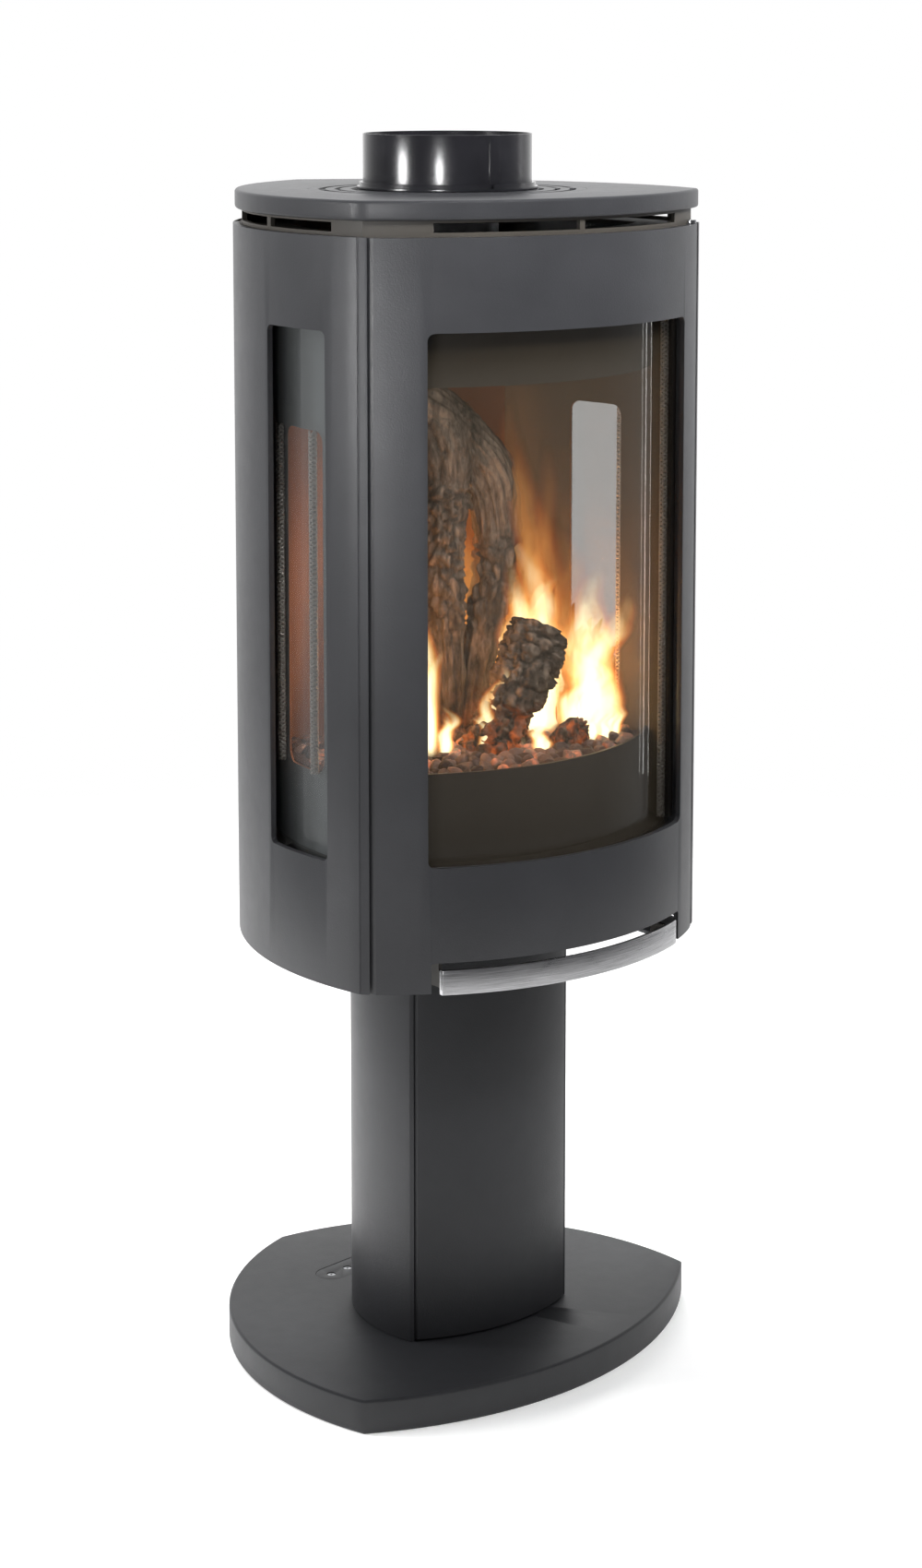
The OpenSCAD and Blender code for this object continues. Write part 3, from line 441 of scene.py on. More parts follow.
def solids_of(node):
    """The lowest and highest corners of each separate solid in a CAD node."""
    mesh, bm = merged_copy(node)
    left = set(bm.verts)
    found = []
    while left:
        stack = [left.pop()]
        island = []
        while stack:
            v = stack.pop()
            island.append(v.co.copy())
            for e in v.link_edges:
                other = e.other_vert(v)
                if other in left:
                    left.remove(other)
                    stack.append(other)
        low = Vector(min(c[i] for c in island) for i in range(3))
        high = Vector(max(c[i] for c in island) for i in range(3))
        found.append((low, high))
    bm.free()
    bpy.data.meshes.remove(mesh)
    return sorted(found, key=lambda b: (round(b[0].x, 4), round(b[0].y, 4)))


def baked(source, name):
    """The evaluated mesh of an object, as a new plain object; the source is removed."""
    graph = bpy.context.evaluated_depsgraph_get()
    mesh = bpy.data.meshes.new_from_object(source.evaluated_get(graph))
    bpy.data.objects.remove(source)
    return add_object(name, mesh)


def finished_copy(name, node, width, material):
    """A welded copy of a CAD piece that stands for the node, its edges eased where width is over 0."""
    mesh, bm = merged_copy(node)
    bmesh.ops.dissolve_limit(bm, angle_limit=math.radians(FLAT_ANGLE), verts=bm.verts, edges=bm.edges)
    bm.to_mesh(mesh)
    bm.free()
    work = add_object(name + "_work", mesh)
    if width > 0:
        edge = work.modifiers.new("eased_edge", "BEVEL")
        edge.width = width
        edge.segments = EASED_STEPS
        edge.limit_method = "ANGLE"
        edge.angle_limit = math.radians(EASED_ANGLE)
    made = baked(work, name)
    made.data.materials.clear()
    made.data.materials.append(material)
    smooth(made.data)
    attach(made, body_of(node))
    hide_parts(node)
    return made


def body_of(node):
    """The body that a CAD node belongs to."""
    bodies = frame["record"]["behaviour"]["bodies"]
    return next(name for name, nodes in bodies.items() if node in nodes)


# ---- geometry nodes

class Grow:
    """A Geometry Nodes tree with named inputs."""

    def __init__(self, name, inputs):
        self.tree = bpy.data.node_groups.new(name, "GeometryNodeTree")
        face = self.tree.interface
        face.new_socket("Geometry", in_out="INPUT", socket_type="NodeSocketGeometry")
        self.ids = {}
        for label, kind in inputs.items():
            made = face.new_socket(label, in_out="INPUT", socket_type="NodeSocket" + kind)
            self.ids[label] = made.identifier
        face.new_socket("Geometry", in_out="OUTPUT", socket_type="NodeSocketGeometry")
        self.start = self.tree.nodes.new("NodeGroupInput")
        self.end = self.tree.nodes.new("NodeGroupOutput")

    def input(self, label):
        return self.start.outputs[label]

    def node(self, kind, settings, sockets):
        made = self.tree.nodes.new(kind)
        for key, value in settings.items():
            setattr(made, key, value)
        for key, value in sockets.items():
            if isinstance(value, bpy.types.NodeSocket):
                self.tree.links.new(value, made.inputs[key])
            elif isinstance(value, list):
                for one in value:
                    self.tree.links.new(one, made.inputs[key])
            else:
                made.inputs[key].default_value = value
        return made

    def close(self, geometry):
        """Ends the tree: instances made real, smooth shading and the material."""
        real = self.node("GeometryNodeRealizeInstances", {}, {0: geometry})
        shade = self.node("GeometryNodeSetShadeSmooth", {}, {0: real.outputs[0]})
        done = self.node("GeometryNodeSetMaterial", {},
                         {0: shade.outputs[0], "Material": self.input("Material")})
        self.tree.links.new(done.outputs[0], self.end.inputs[0])
        return real

    def run(self, name, mesh, values):
        """Runs the tree on a mesh with the given input values and returns the plain result."""
        work = add_object(name + "_work", mesh)
        made = work.modifiers.new("grow", "NODES")
        made.node_group = self.tree
        for label, value in values.items():
            made[self.ids[label]] = value
        return baked(work, name)


def pebble_tree():
    """Dented, turned and stretched pebbles, spread over a surface."""
    g = Grow("pebble_bed", {"Spacing": "Float", "Size": "Float", "Seed": "Int", "Material": "Material"})
    vectors = {"data_type": "FLOAT_VECTOR"}
    spread = g.node("GeometryNodeDistributePointsOnFaces", {"distribute_method": "POISSON"},
                    {0: g.input("Geometry"), "Distance Min": g.input("Spacing"),
                     "Density Max": PEBBLE_DENSITY, "Seed": g.input("Seed")})
    stone = g.node("GeometryNodeMeshIcoSphere", {}, {"Radius": g.input("Size"), "Subdivisions": 3})
    turn = g.node("FunctionNodeRandomValue", vectors, {0: (0, 0, 0), 1: PEBBLE_TURN, "Seed": TURN_SEED})
    grow = g.node("FunctionNodeRandomValue", vectors,
                  {0: PEBBLE_STRETCH[0], 1: PEBBLE_STRETCH[1], "Seed": STRETCH_SEED})
    scatter = g.node("GeometryNodeInstanceOnPoints", {},
                     {"Points": spread.outputs[0], "Instance": stone.outputs[0],
                      "Rotation": turn.outputs[0], "Scale": grow.outputs[0]})
    tone = g.node("FunctionNodeRandomValue", {"data_type": "FLOAT"}, {2: 0.0, 3: 1.0, "Seed": TONE_SEED})
    marked = g.node("GeometryNodeStoreNamedAttribute", {"data_type": "FLOAT", "domain": "INSTANCE"},
                    {0: scatter.outputs[0], "Name": "pebble_tone", "Value": tone.outputs[1]})
    real = g.close(marked.outputs[0])
    dent = g.node("ShaderNodeTexNoise", {}, {"Scale": PEBBLE_DENT_SCALE, "Detail": 2.0})
    centred = g.node("ShaderNodeVectorMath", {"operation": "SUBTRACT"},
                     {0: dent.outputs[1], 1: (0.5, 0.5, 0.5)})
    amount = g.node("ShaderNodeVectorMath", {"operation": "SCALE"},
                    {0: centred.outputs[0], "Scale": PEBBLE_DENT})
    moved = g.node("GeometryNodeSetPosition", {}, {0: real.outputs[0], "Offset": amount.outputs[0]})
    shade = next(n for n in g.tree.nodes if n.bl_idname == "GeometryNodeSetShadeSmooth")
    g.tree.links.new(moved.outputs[0], shade.inputs[0])
    return g


def braid_tree():
    """A round braided rope: helical strands both ways about the vertical line through Place."""
    g = Grow("braided_rope", {"Length": "Float", "Radius": "Float", "Strand": "Float", "Turns": "Float",
                              "Place": "Vector", "Material": "Material"})
    ring = g.node("GeometryNodeCurvePrimitiveCircle", {},
                  {"Resolution": STRAND_CORNERS, "Radius": g.input("Strand")})
    strands = []
    for left_handed in (False, True):
        coil = g.node("GeometryNodeCurveSpiral", {},
                      {"Resolution": STRAND_POINTS, "Rotations": g.input("Turns"),
                       "Start Radius": g.input("Radius"), "End Radius": g.input("Radius"),
                       "Height": g.input("Length"), "Reverse": left_handed})
        for i in range(ROPE_STRANDS):
            angle = i * math.tau / ROPE_STRANDS + left_handed * 0.5
            turned = g.node("GeometryNodeTransform", {}, {0: coil.outputs[0], "Rotation": (0, 0, angle)})
            tube = g.node("GeometryNodeCurveToMesh", {},
                          {0: turned.outputs[0], 1: ring.outputs[0], "Fill Caps": True})
            strands.append(tube.outputs[0])
    both = g.node("GeometryNodeJoinGeometry", {}, {0: strands})
    placed = g.node("GeometryNodeTransform", {}, {0: both.outputs[0], "Translation": g.input("Place")})
    g.close(placed.outputs[0])
    return g


def screw_tree():
    """Pan-head screws, one at each point of the mesh, facing along the point's normal."""
    g = Grow("pan_screws", {"Radius": "Float", "Material": "Material"})
    head = g.node("GeometryNodeMeshUVSphere", {}, {"Segments": 20, "Rings": 12, "Radius": g.input("Radius")})
    flat = g.node("GeometryNodeTransform", {}, {0: head.outputs[0], "Scale": (1, 1, SCREW_FLATNESS)})
    normal = g.node("GeometryNodeInputNamedAttribute", {"data_type": "FLOAT_VECTOR"}, {"Name": "facing"})
    aim = g.node("FunctionNodeAlignRotationToVector", {"axis": "Z"}, {"Vector": normal.outputs[0]})
    placed = g.node("GeometryNodeInstanceOnPoints", {},
                    {"Points": g.input("Geometry"), "Instance": flat.outputs[0], "Rotation": aim.outputs[0]})
    g.close(placed.outputs[0])
    return g


# ---- pieces

def path_point(path, t):
    """A point and radius on a smooth curve through [x, y, z, radius] rows, for t from 0 to 1."""
    n = len(path) - 1
    s = min(max(t, 0.0), 1.0) * n
    i = min(int(s), n - 1)
    f = s - i
    rows = [path[max(i - 1, 0)], path[i], path[i + 1], path[min(i + 2, n)]]
    out = []
    for k in range(4):
        a, b, c, d = (row[k] for row in rows)
        square = (2 * a - 5 * b + 4 * c - d) * f * f
        cube = (3 * b - a - 3 * c + d) * f ** 3
        out.append(0.5 * (2 * b + (c - a) * f + square + cube))
    return Vector(out[:3]), out[3]


def build_log(name, path, blocks, seed, rough):
    """A log along a path, with bark broken into blocks and smoother bare wood between.
    blocks lists (from, to) stretches of the path that carry blocky bark."""
    bm = bmesh.new()
    layer = bm.verts.layers.float.new("fissure")
    rows = []
    shift = Vector((seed * 3.1, seed * 1.7, seed * 0.9))
    for i in range(LOG_RINGS + 1):
        t = i / LOG_RINGS
        centre, radius = path_point(path, t)
        ahead = path_point(path, t + 0.01)[0] - path_point(path, t - 0.01)[0]
        ahead.normalize()
        side = ahead.cross(Vector((0, 1, 0))).normalized()
        front = side.cross(ahead).normalized()
        bark = max([0.0] + [min(1.0, (t - a) * 14, (b - t) * 14) for a, b in blocks])
        from_end = min(t, 1 - t) * LOG_RINGS / LOG_CAP_RINGS
        cap = math.sqrt(max(0.0, 1 - (1 - from_end) ** 2)) if from_end < 1 else 1.0
        row = []
        for j in range(LOG_SIDES):
            b = math.tau * j / LOG_SIDES
            out = side * math.cos(b) + front * math.sin(b)
            spot = centre + out * radius
            wander = noise.noise(spot * 14 + shift) * 0.22 + noise.noise(spot * 42 + shift) * 0.10
            ridge = noise.noise(Vector((out.x * 3.0, out.y * 3.0, t * 2.2)) * 2.4 + shift)
            grain = abs(noise.noise(Vector((math.cos(b) * 5, math.sin(b) * 5, t * 3)) + shift))
            warp = noise.noise(spot * 60 + shift) * 0.5
            block = Vector((math.cos(b) * 1.9 + warp, math.sin(b) * 1.9 - warp, centre.z * 56 + warp)) + shift
            near, far = noise.voronoi(block)[0][:2]
            crack = 1.0 - min(1.0, (far - near) * 4.2)
            lump = noise.fractal(spot * 95 + shift, 0.8, 2.0, 4)
            height = wander + ridge * 0.10 - (1 - bark) * max(0.0, 0.22 - grain) * 0.9
            chip = noise.fractal(spot * 210 + shift, 0.9, 2.0, 3)
            height += bark * (0.15 - crack * 0.30 + lump * 0.12 * rough + chip * 0.06)
            height += lump * 0.03 * rough
            v = bm.verts.new(centre + out * radius * cap * (1 + height))
            split = max(0.0, 0.10 - grain) * 4
            pit = rough * 0.25 * max(0.0, lump + 0.2)
            v[layer] = min(1.0, bark * crack ** 1.5 + split + pit)
            row.append(v)
        rows.append(row)
    for low, high in zip(rows, rows[1:]):
        for j in range(LOG_SIDES):
            k = (j + 1) % LOG_SIDES
            bm.faces.new((low[j], low[k], high[k], high[j]))
    bm.faces.new(list(reversed(rows[0])))
    bm.faces.new(rows[-1])
    bmesh.ops.recalc_face_normals(bm, faces=bm.faces)
    mesh = mesh_from(bm, name)
    mesh.shade_smooth()
    return add_object(name, mesh)


def flame_sheet(bm, uv, base, height, width, lean, face, seed):
    """One tongue of flame: a curved, wavering sheet that narrows to its tip."""
    side = Vector((math.cos(face), math.sin(face), 0))
    out = Vector((-math.sin(face), math.cos(face), 0))
    grid = []
    for i in range(FLAME_UP + 1):
        v = i / FLAME_UP
        if v > 0.28:
            half = width / 2 * (0.55 + 0.9 * v) * (1 - v) ** 0.62 * 1.25
        else:
            half = width / 2 * (0.72 + 0.5 * v)
        half = max(half, width * 0.01)
        sway = noise.noise(Vector((seed * 5.3, v * 2.6, 0.3))) * width * 0.9 * v
        bend = noise.noise(Vector((seed * 2.9, v * 2.2, 4.1))) * width * 0.5 * v
        leant = base + Vector((lean[0], lean[1], 0)) * v ** 1.4
        middle = leant + Vector((0, 0, height * v)) + side * sway + out * bend
        row = []
        for j in range(FLAME_ACROSS + 1):
            u = j / FLAME_ACROSS
            bow = (1 - (2 * u - 1) ** 2) * width * 0.22
            row.append((bm.verts.new(middle + side * (2 * u - 1) * half - out * bow), u, v))
        grid.append(row)
    for low, high in zip(grid, grid[1:]):
        for j in range(FLAME_ACROSS):
            corners = (low[j], low[j + 1], high[j + 1], high[j])
            made = bm.faces.new([c[0] for c in corners])
            made.smooth = True
            for loop, corner in zip(made.loops, corners):
                loop[uv].uv = corner[1:]


# Logs as rows of x, y, height above the bed and radius, in metres
FORK_TRUNK = [(0.022, 0.030, -0.012, 0.016), (0.022, 0.031, 0.050, 0.019), (0.019, 0.033, 0.110, 0.021),
              (0.019, 0.035, 0.170, 0.021), (0.022, 0.038, 0.225, 0.024), (0.026, 0.040, 0.268, 0.030),
              (0.022, 0.042, 0.300, 0.031), (0.004, 0.044, 0.330, 0.024)]
FORK_ARM = [(0.042, 0.022, -0.012, 0.012), (0.051, 0.025, 0.035, 0.015), (0.064, 0.028, 0.085, 0.018),
            (0.079, 0.031, 0.140, 0.021), (0.092, 0.034, 0.187, 0.022), (0.090, 0.036, 0.228, 0.025),
            (0.078, 0.038, 0.266, 0.030), (0.055, 0.040, 0.296, 0.031), (0.024, 0.042, 0.320, 0.028),
            (-0.012, 0.044, 0.345, 0.022)]
REAR_LIMB = [(-0.084, 0.010, -0.012, 0.020), (-0.074, 0.022, 0.090, 0.019), (-0.060, 0.034, 0.170, 0.018),
             (-0.064, 0.044, 0.262, 0.013)]
CHARRED_STUB = [(-0.010, -0.066, -0.030, 0.021), (0.003, -0.064, -0.004, 0.023),
                (0.020, -0.062, 0.024, 0.023), (0.042, -0.060, 0.056, 0.026),
                (0.062, -0.057, 0.086, 0.029), (0.078, -0.055, 0.112, 0.025)]
SMALL_STUB = [(0.066, -0.098, -0.004, 0.010), (0.080, -0.095, 0.006, 0.014), (0.100, -0.090, 0.010, 0.012)]

# Flames: x, y, height, width, lean in x, lean in y, facing in degrees, and whether it is a hot one
FLAMES = [
    (0.128, -0.074, 0.150, 0.074, 0.006, 0.006, -37, True),
    (0.146, -0.072, 0.125, 0.060, -0.004, 0.004, -42, True),
    (0.112, -0.070, 0.115, 0.056, 0.006, 0.004, -32, True),
    (0.138, -0.060, 0.175, 0.080, 0.000, 0.010, -37, True),
    (0.130, -0.066, 0.110, 0.085, 0.004, 0.004, -37, True),
    (0.116, -0.090, 0.044, 0.028, 0.002, 0.000, -37, True),
    (0.134, -0.090, 0.040, 0.026, 0.004, 0.000, -37, True),
    (0.150, -0.084, 0.036, 0.026, 0.006, 0.000, -37, True),
    (0.128, -0.046, 0.230, 0.070, 0.000, 0.020, -37, False),
    (0.114, -0.006, 0.350, 0.062, -0.002, 0.030, -37, False),
    (0.134, 0.000, 0.300, 0.052, 0.000, 0.020, -37, False),
    (0.106, -0.004, 0.215, 0.070, 0.004, 0.020, -37, True),
    (0.084, 0.004, 0.130, 0.056, 0.010, 0.014, -37, True),
    (0.092, -0.012, 0.165, 0.056, 0.008, 0.014, -30, True),
    (0.112, -0.020, 0.170, 0.066, 0.000, 0.006, -37, True),
    (0.094, -0.030, 0.140, 0.060, 0.004, 0.006, -40, True),
    (0.056, 0.056, 0.250, 0.056, -0.004, 0.006, -37, False),
    (0.052, 0.074, 0.270, 0.120, 0.000, 0.006, -30, False),
    (0.108, 0.072, 0.280, 0.090, 0.000, 0.006, -37, False),
    (0.124, 0.060, 0.190, 0.080, 0.000, 0.006, -37, False),
    (0.004, -0.062, 0.088, 0.032, 0.014, 0.004, -37, True),
    (-0.004, -0.070, 0.046, 0.026, 0.004, 0.002, -37, True),
    (0.046, -0.096, 0.034, 0.030, -0.010, 0.000, -37, True),
    (-0.050, -0.030, 0.170, 0.036, -0.004, 0.012, -37, True),
    (-0.056, -0.044, 0.110, 0.034, 0.002, 0.006, -37, True),
    (-0.040, -0.050, 0.050, 0.026, 0.000, 0.004, -37, True),
    (-0.090, -0.030, 0.210, 0.056, 0.006, 0.010, -20, True),
    (-0.112, -0.010, 0.180, 0.046, 0.006, 0.010, 0, False),
    (-0.040, 0.062, 0.260, 0.070, 0.010, 0.006, -20, False),
]
# Each flame is drawn as these layers: share of its height and width, and shift across, in metres
FLAME_LAYERS = [(1.0, 1.0, 0.0), (0.72, 0.62, 0.006), (0.86, 0.80, -0.006)]

# Lamps that stand for the fire's light: place from the bed's top, and power
FIRE_GLOW = [((0.120, -0.050, 0.08), 1.6), ((0.070, 0.066, 0.12), 2.2),
             ((0.00, 0.078, 0.20), 1.8), ((-0.07, -0.04, 0.10), 1.4)]
FIRE_COLOUR = (1.0, 0.42, 0.12)

FLOOR_RADIUS = 9.0

# Studio lights: place, aim, width, height, power, whether gloss shows them, and spread in degrees
LIGHTS = {
    "left_strip": ((-2.5, -2.3, 1.2), (0, 0, 1.2), 0.26, 0.5, 2.8, True, 50),
    "flue_strip": ((-2.4, 0.38, 1.2), (0, 0, 1.2), 0.45, 0.5, 2.2, True, 50),
    "left_rear_strip": ((-1.9, 1.8, 1.6), (0, 0, 1.0), 0.6, 2.4, 78, False, 180),
    "right_strip": ((2.45, -0.48, 1.0), (0, 0, 0.9), 0.03, 1.9, 1.2, True, 180),
    "right_thin_strip": ((2.4, -0.30, 1.0), (0, 0, 0.9), 0.012, 1.9, 0.6, True, 180),
    "right_rear_softbox": ((1.6, 2.2, 1.7), (0, 0, 0.9), 1.2, 2.2, 50, False, 180),
    "top_softbox": ((0.15, -1.35, 2.0), (0, -0.15, 1.12), 1.2, 0.5, 11, False, 60),
    "overhead_softbox": ((-0.3, 0.6, 3.2), (0, 0, 0), 1.6, 1.6, 56, False, 180),
    "chamber_fill": ((-0.02, -0.135, BED_TOP + 0.24), (0, 0.05, BED_TOP + 0.22), 0.16, 0.30, 0.5, False, 180),
}

# Cast and pressed pieces: piece name, CAD node, width of the eased edge in millimetres (0 for none), finish
CASTINGS = [
    ("front_door_casting", "front_door_panel", 1.2, "panel"),
    ("left_side_casting", "side_panel_left", 1.2, "panel"),
    ("right_side_casting", "side_panel_right", 1.2, "panel"),
    ("top_plate_casting", "top_plate", 0.0, "panel"),
    ("round_grille_casting", "top_grille", 0.5, "panel"),
    ("floor_plate_casting", "base_plate", 0.0, "plate"),
    ("service_cover_plate", "base_cover", 0.4, "plate"),
    ("pedestal_left_shell", "pedestal_left", 0.4, "panel"),
    ("pedestal_right_shell", "pedestal_right", 0.4, "panel"),
    ("pedestal_front_door", "pedestal_door", 0.8, "plate"),
    ("curved_pull_bar", "handle_bar", 0.8, "pull"),
    ("flue_outer_pipe", "flue_pipe", 0.3, "flue"),
    ("flue_bead_ring", "flue_collar", 0.6, "flue"),
    ("exhaust_inner_pipe", "inner_flue_pipe", 0.0, "zinc"),
    ("slotted_spacer_ring", "spacer_frame", 0.3, "sheet"),
    ("rear_vented_cover", "rear_cover", 0.0, "sheet"),
]

# Finish of each CAD node that is shown as it is
BARE_NODES = {
    "sheet": ["pedestal_header", "valve_bracket", "receiver_box", "body_floor", "top_frame",
              "handle_bracket", "handle_arms", "firebox_floor", "firebox_top", "lower_apron", "upper_apron",
              "corner_posts", "burner_tray"],
    "brown": ["firebox_back", "firebox_side_left", "firebox_side_right"],
    "zinc": ["cover_screws", "swivel_spindle", "swivel_stop_pin", "swivel_plate", "pedestal_hinge_pins",
             "pedestal_magnet", "floor_bolts", "door_hinge_pins", "handle_shaft", "latch_catch",
             "pilot_burner"],
    "glass": ["front_glass"],
    "side_glass": ["left_glass", "right_glass"],
    "rubber": ["floor_pads"],
    "glide": ["glide_ring"],
    "pipe": ["gas_inlet_pipe", "burner_pipe"],
    "cast": ["gas_valve"],
    "knob": ["control_knob", "flame_knob"],
    "red": ["igniter_button"],
    "switch": ["receiver_switch"],
}


def length_setting(label, says, default, least, most):
    """A length that a user can change."""
    return bpy.props.FloatProperty(name=label, description=says, default=default, min=least, max=most,
                                   unit="LENGTH")


def colour_setting(label, says, default):
    """A colour that a user can change."""
    return bpy.props.FloatVectorProperty(name=label, description=says, default=default, min=0, max=1,
                                         subtype="COLOR")


class StoveSizes(bpy.types.PropertyGroup):
    """Sizes of the pieces that are made here."""
    pebble_size: length_setting("Pebble size", "Radius of an average pebble", 0.0092, 0.004, 0.012)
    pebble_spacing: length_setting("Pebble spacing", "Least distance between pebbles", 0.0126, 0.007, 0.02)
    rope_strand: length_setting("Rope strand", "Radius of one strand of the rope seal", 0.0011, 0.0006, 0.002)
    rope_pitch: length_setting("Rope pitch", "Length of one turn of a rope strand", 0.013, 0.008, 0.03)
    screw_radius: length_setting("Screw head", "Radius of the rear cover's screw heads", 0.0042, 0.003, 0.006)
    flame_scale: bpy.props.FloatProperty(name="Flame height", description="Scale of the flames' height",
                                         default=1.0, min=0.5, max=1.3)


class StoveColours(bpy.types.PropertyGroup):
    """Colours that a user would change."""
    panel: colour_setting("Panels", "Enamel of the stove's panels", (0.025, 0.0255, 0.028))
    plate: colour_setting("Plates", "Enamel of the floor plate and pedestal door", (0.018, 0.0185, 0.0205))
    sheet: colour_setting("Sheet metal", "Paint of the inner sheet metal", (0.040, 0.036, 0.031))
    wood: colour_setting("Log wood", "Pale wood of the logs", (0.15, 0.108, 0.076))
    bark: colour_setting("Log bark", "Dark cracks of the logs", (0.040, 0.029, 0.021))
    floor: colour_setting("Studio floor", "Colour of the studio floor", (0.86, 0.86, 0.86))


def finishes():
    """All finishes by short name, made once."""
    made = finishes.made
    if made:
        return made
    colours = bpy.context.scene.stove_colours
    made["panel"] = enamel("panel_enamel", colours.panel, 0.42)
    made["plate"] = enamel("plate_enamel", colours.plate, 0.50)
    made["sheet"] = enamel("sheet_paint", colours.sheet, 0.55, 0.00003)
    made["brown"] = fire_brown("heat_browned_sheet")
    made["flue"] = satin_flue("satin_flue_paint")
    made["pull"] = brushed("brushed_stainless", (0.66, 0.66, 0.67))
    made["zinc"] = plated("zinc_plate", (0.55, 0.56, 0.58))
    made["pipe"] = plated("gas_pipe_brass", (0.72, 0.50, 0.22), 0.3)
    made["cast"] = plated("die_cast_valve", (0.58, 0.59, 0.60), 0.5)
    made["glass"] = tinted_glass("ceramic_glass", (0.034, 0.027, 0.018))
    # Side panes: a pale grey film, partly the glass's tint and partly a painted reflection that lifts the
    # windows in the side panels
    made["side_glass"] = tinted_glass("side_pane_glass_with_painted_reflection", (0.10, 0.105, 0.105))
    made["rope"] = rope("glass_fibre_rope")
    made["rubber"] = moulded("pad_rubber", (0.03, 0.03, 0.03), 0.7)
    made["glide"] = moulded("glide_plastic", (0.75, 0.73, 0.68), 0.4)
    made["knob"] = moulded("knob_plastic", (0.02, 0.02, 0.021))
    made["red"] = moulded("button_plastic", (0.5, 0.03, 0.02), 0.3)
    made["switch"] = moulded("switch_plastic", (0.7, 0.7, 0.7))
    made["log"] = log_wood("cast_log", colours.wood, colours.bark, 1.5)
    made["char"] = log_wood("charred_log", [c * 0.85 for c in colours.wood],
                            [c * 0.8 for c in colours.bark], 2.0)
    made["pebble"] = pebble_stone("ember_pebbles")
    made["hot_flame"] = flame_gas("hot_flame", 4.4, 1.05,
                                  (1.0, 0.82, 0.45), (1.0, 0.50, 0.13), (1.0, 0.24, 0.04))
    made["soft_flame"] = flame_gas("soft_flame", 1.7, 0.55,
                                   (1.0, 0.42, 0.10), (1.0, 0.24, 0.035), (0.9, 0.13, 0.012))
    return made


finishes.made = {}


# ---- operators

class STOVE_OT_castings(bpy.types.Operator):
    """Ease the edges of the cast and pressed pieces, and paint them"""
    bl_idname = "stove.castings"
    bl_label = "Castings"

    def execute(self, context):
        for name, node, width, finish in CASTINGS:
            finished_copy(name, node, width * MM, finishes()[finish])
        return {"FINISHED"}


class STOVE_OT_bare_pieces(bpy.types.Operator):
    """Give every other CAD piece its finish"""
    bl_idname = "stove.bare_pieces"
    bl_label = "Inner pieces"

    def execute(self, context):
        for finish, nodes in BARE_NODES.items():
            for node in nodes:
                for slot in frame["nodes"][node].material_slots:
                    slot.material = finishes()[finish]
        return {"FINISHED"}


class STOVE_OT_logs(bpy.types.Operator):
    """Sculpt the cast logs with bark blocks, bare wood and a charred stub"""
    bl_idname = "stove.logs"
    bl_label = "Logs"

    def execute(self, context):
        plan = [
            ("forked_log_trunk", FORK_TRUNK, [(0.24, 0.68)], 2.0, 1.0, "log", ["log_fork"]),
            ("forked_log_arm", FORK_ARM, [(0.20, 0.50)], 5.0, 0.7, "log", []),
            ("rear_log", REAR_LIMB, [(0.15, 0.8)], 8.0, 1.0, "log", ["log_rear"]),
            ("charred_stub", CHARRED_STUB, [(-0.2, 1.2)], 11.0, 1.2, "char", ["log_stub"]),
            ("small_charred_stub", SMALL_STUB, [(-0.2, 1.2)], 14.0, 1.2, "char", []),
        ]
        for name, rows, blocks, seed, rough, finish, nodes in plan:
            path = [(x, y, BED_TOP + z, r) for x, y, z, r in rows]
            made = build_log(name, path, blocks, seed, rough)
            made.data.materials.append(finishes()[finish])
            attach(made, "stove")
            if nodes:
                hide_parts(*nodes)
        return {"FINISHED"}


class STOVE_OT_pebbles(bpy.types.Operator):
    """Fill the burner tray with pebbles and embers"""
    bl_idname = "stove.pebbles"
    bl_label = "Pebbles"

    def execute(self, context):
        sizes = context.scene.stove_sizes
        mesh, bm = merged_copy("ember_bed")
        beside_top = [f for f in bm.faces if f.normal.z < 0.9]
        bmesh.ops.delete(bm, geom=beside_top, context="FACES")
        for v in bm.verts:
            v.co.x *= BED_SHRINK
            v.co.y *= BED_SHRINK
            v.co.z -= PEBBLE_DROP
        bm.to_mesh(mesh)
        bm.free()
        made = pebble_tree().run("ember_pebbles", mesh, {
            "Spacing": sizes.pebble_spacing, "Size": sizes.pebble_size, "Seed": SPREAD_SEED,
            "Material": finishes()["pebble"]})
        under = finished_copy("ember_fill", "ember_bed", 0.0, finishes()["pebble"])
        under.data.transform(Matrix.Translation((0, 0, -FILL_DROP)))
        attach(made, "stove")
        return {"FINISHED"}


class STOVE_OT_flames(bpy.types.Operator):
    """Raise the gas flames between the logs"""
    bl_idname = "stove.flames"
    bl_label = "Flames"

    def execute(self, context):
        scale = context.scene.stove_sizes.flame_scale
        for name, hot, finish in (("hot_flames", True, "hot_flame"), ("soft_flames", False, "soft_flame")):
            bm = bmesh.new()
            uv = bm.loops.layers.uv.new("flame")
            for i, (x, y, tall, wide, lean_x, lean_y, face, is_hot) in enumerate(FLAMES):
                if is_hot != hot:
                    continue
                for j, (high, broad, shift) in enumerate(FLAME_LAYERS):
                    base = Vector((x + shift, y + shift, BED_TOP - FLAME_FOOT))
                    flame_sheet(bm, uv, base, tall * scale * high, wide * broad, (lean_x, lean_y),
                                math.radians(face), i + 1 + j * LAYER_STEP)
            made = add_object(name, mesh_from(bm, name), finishes()[finish])
            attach(made, "stove")
        return {"FINISHED"}


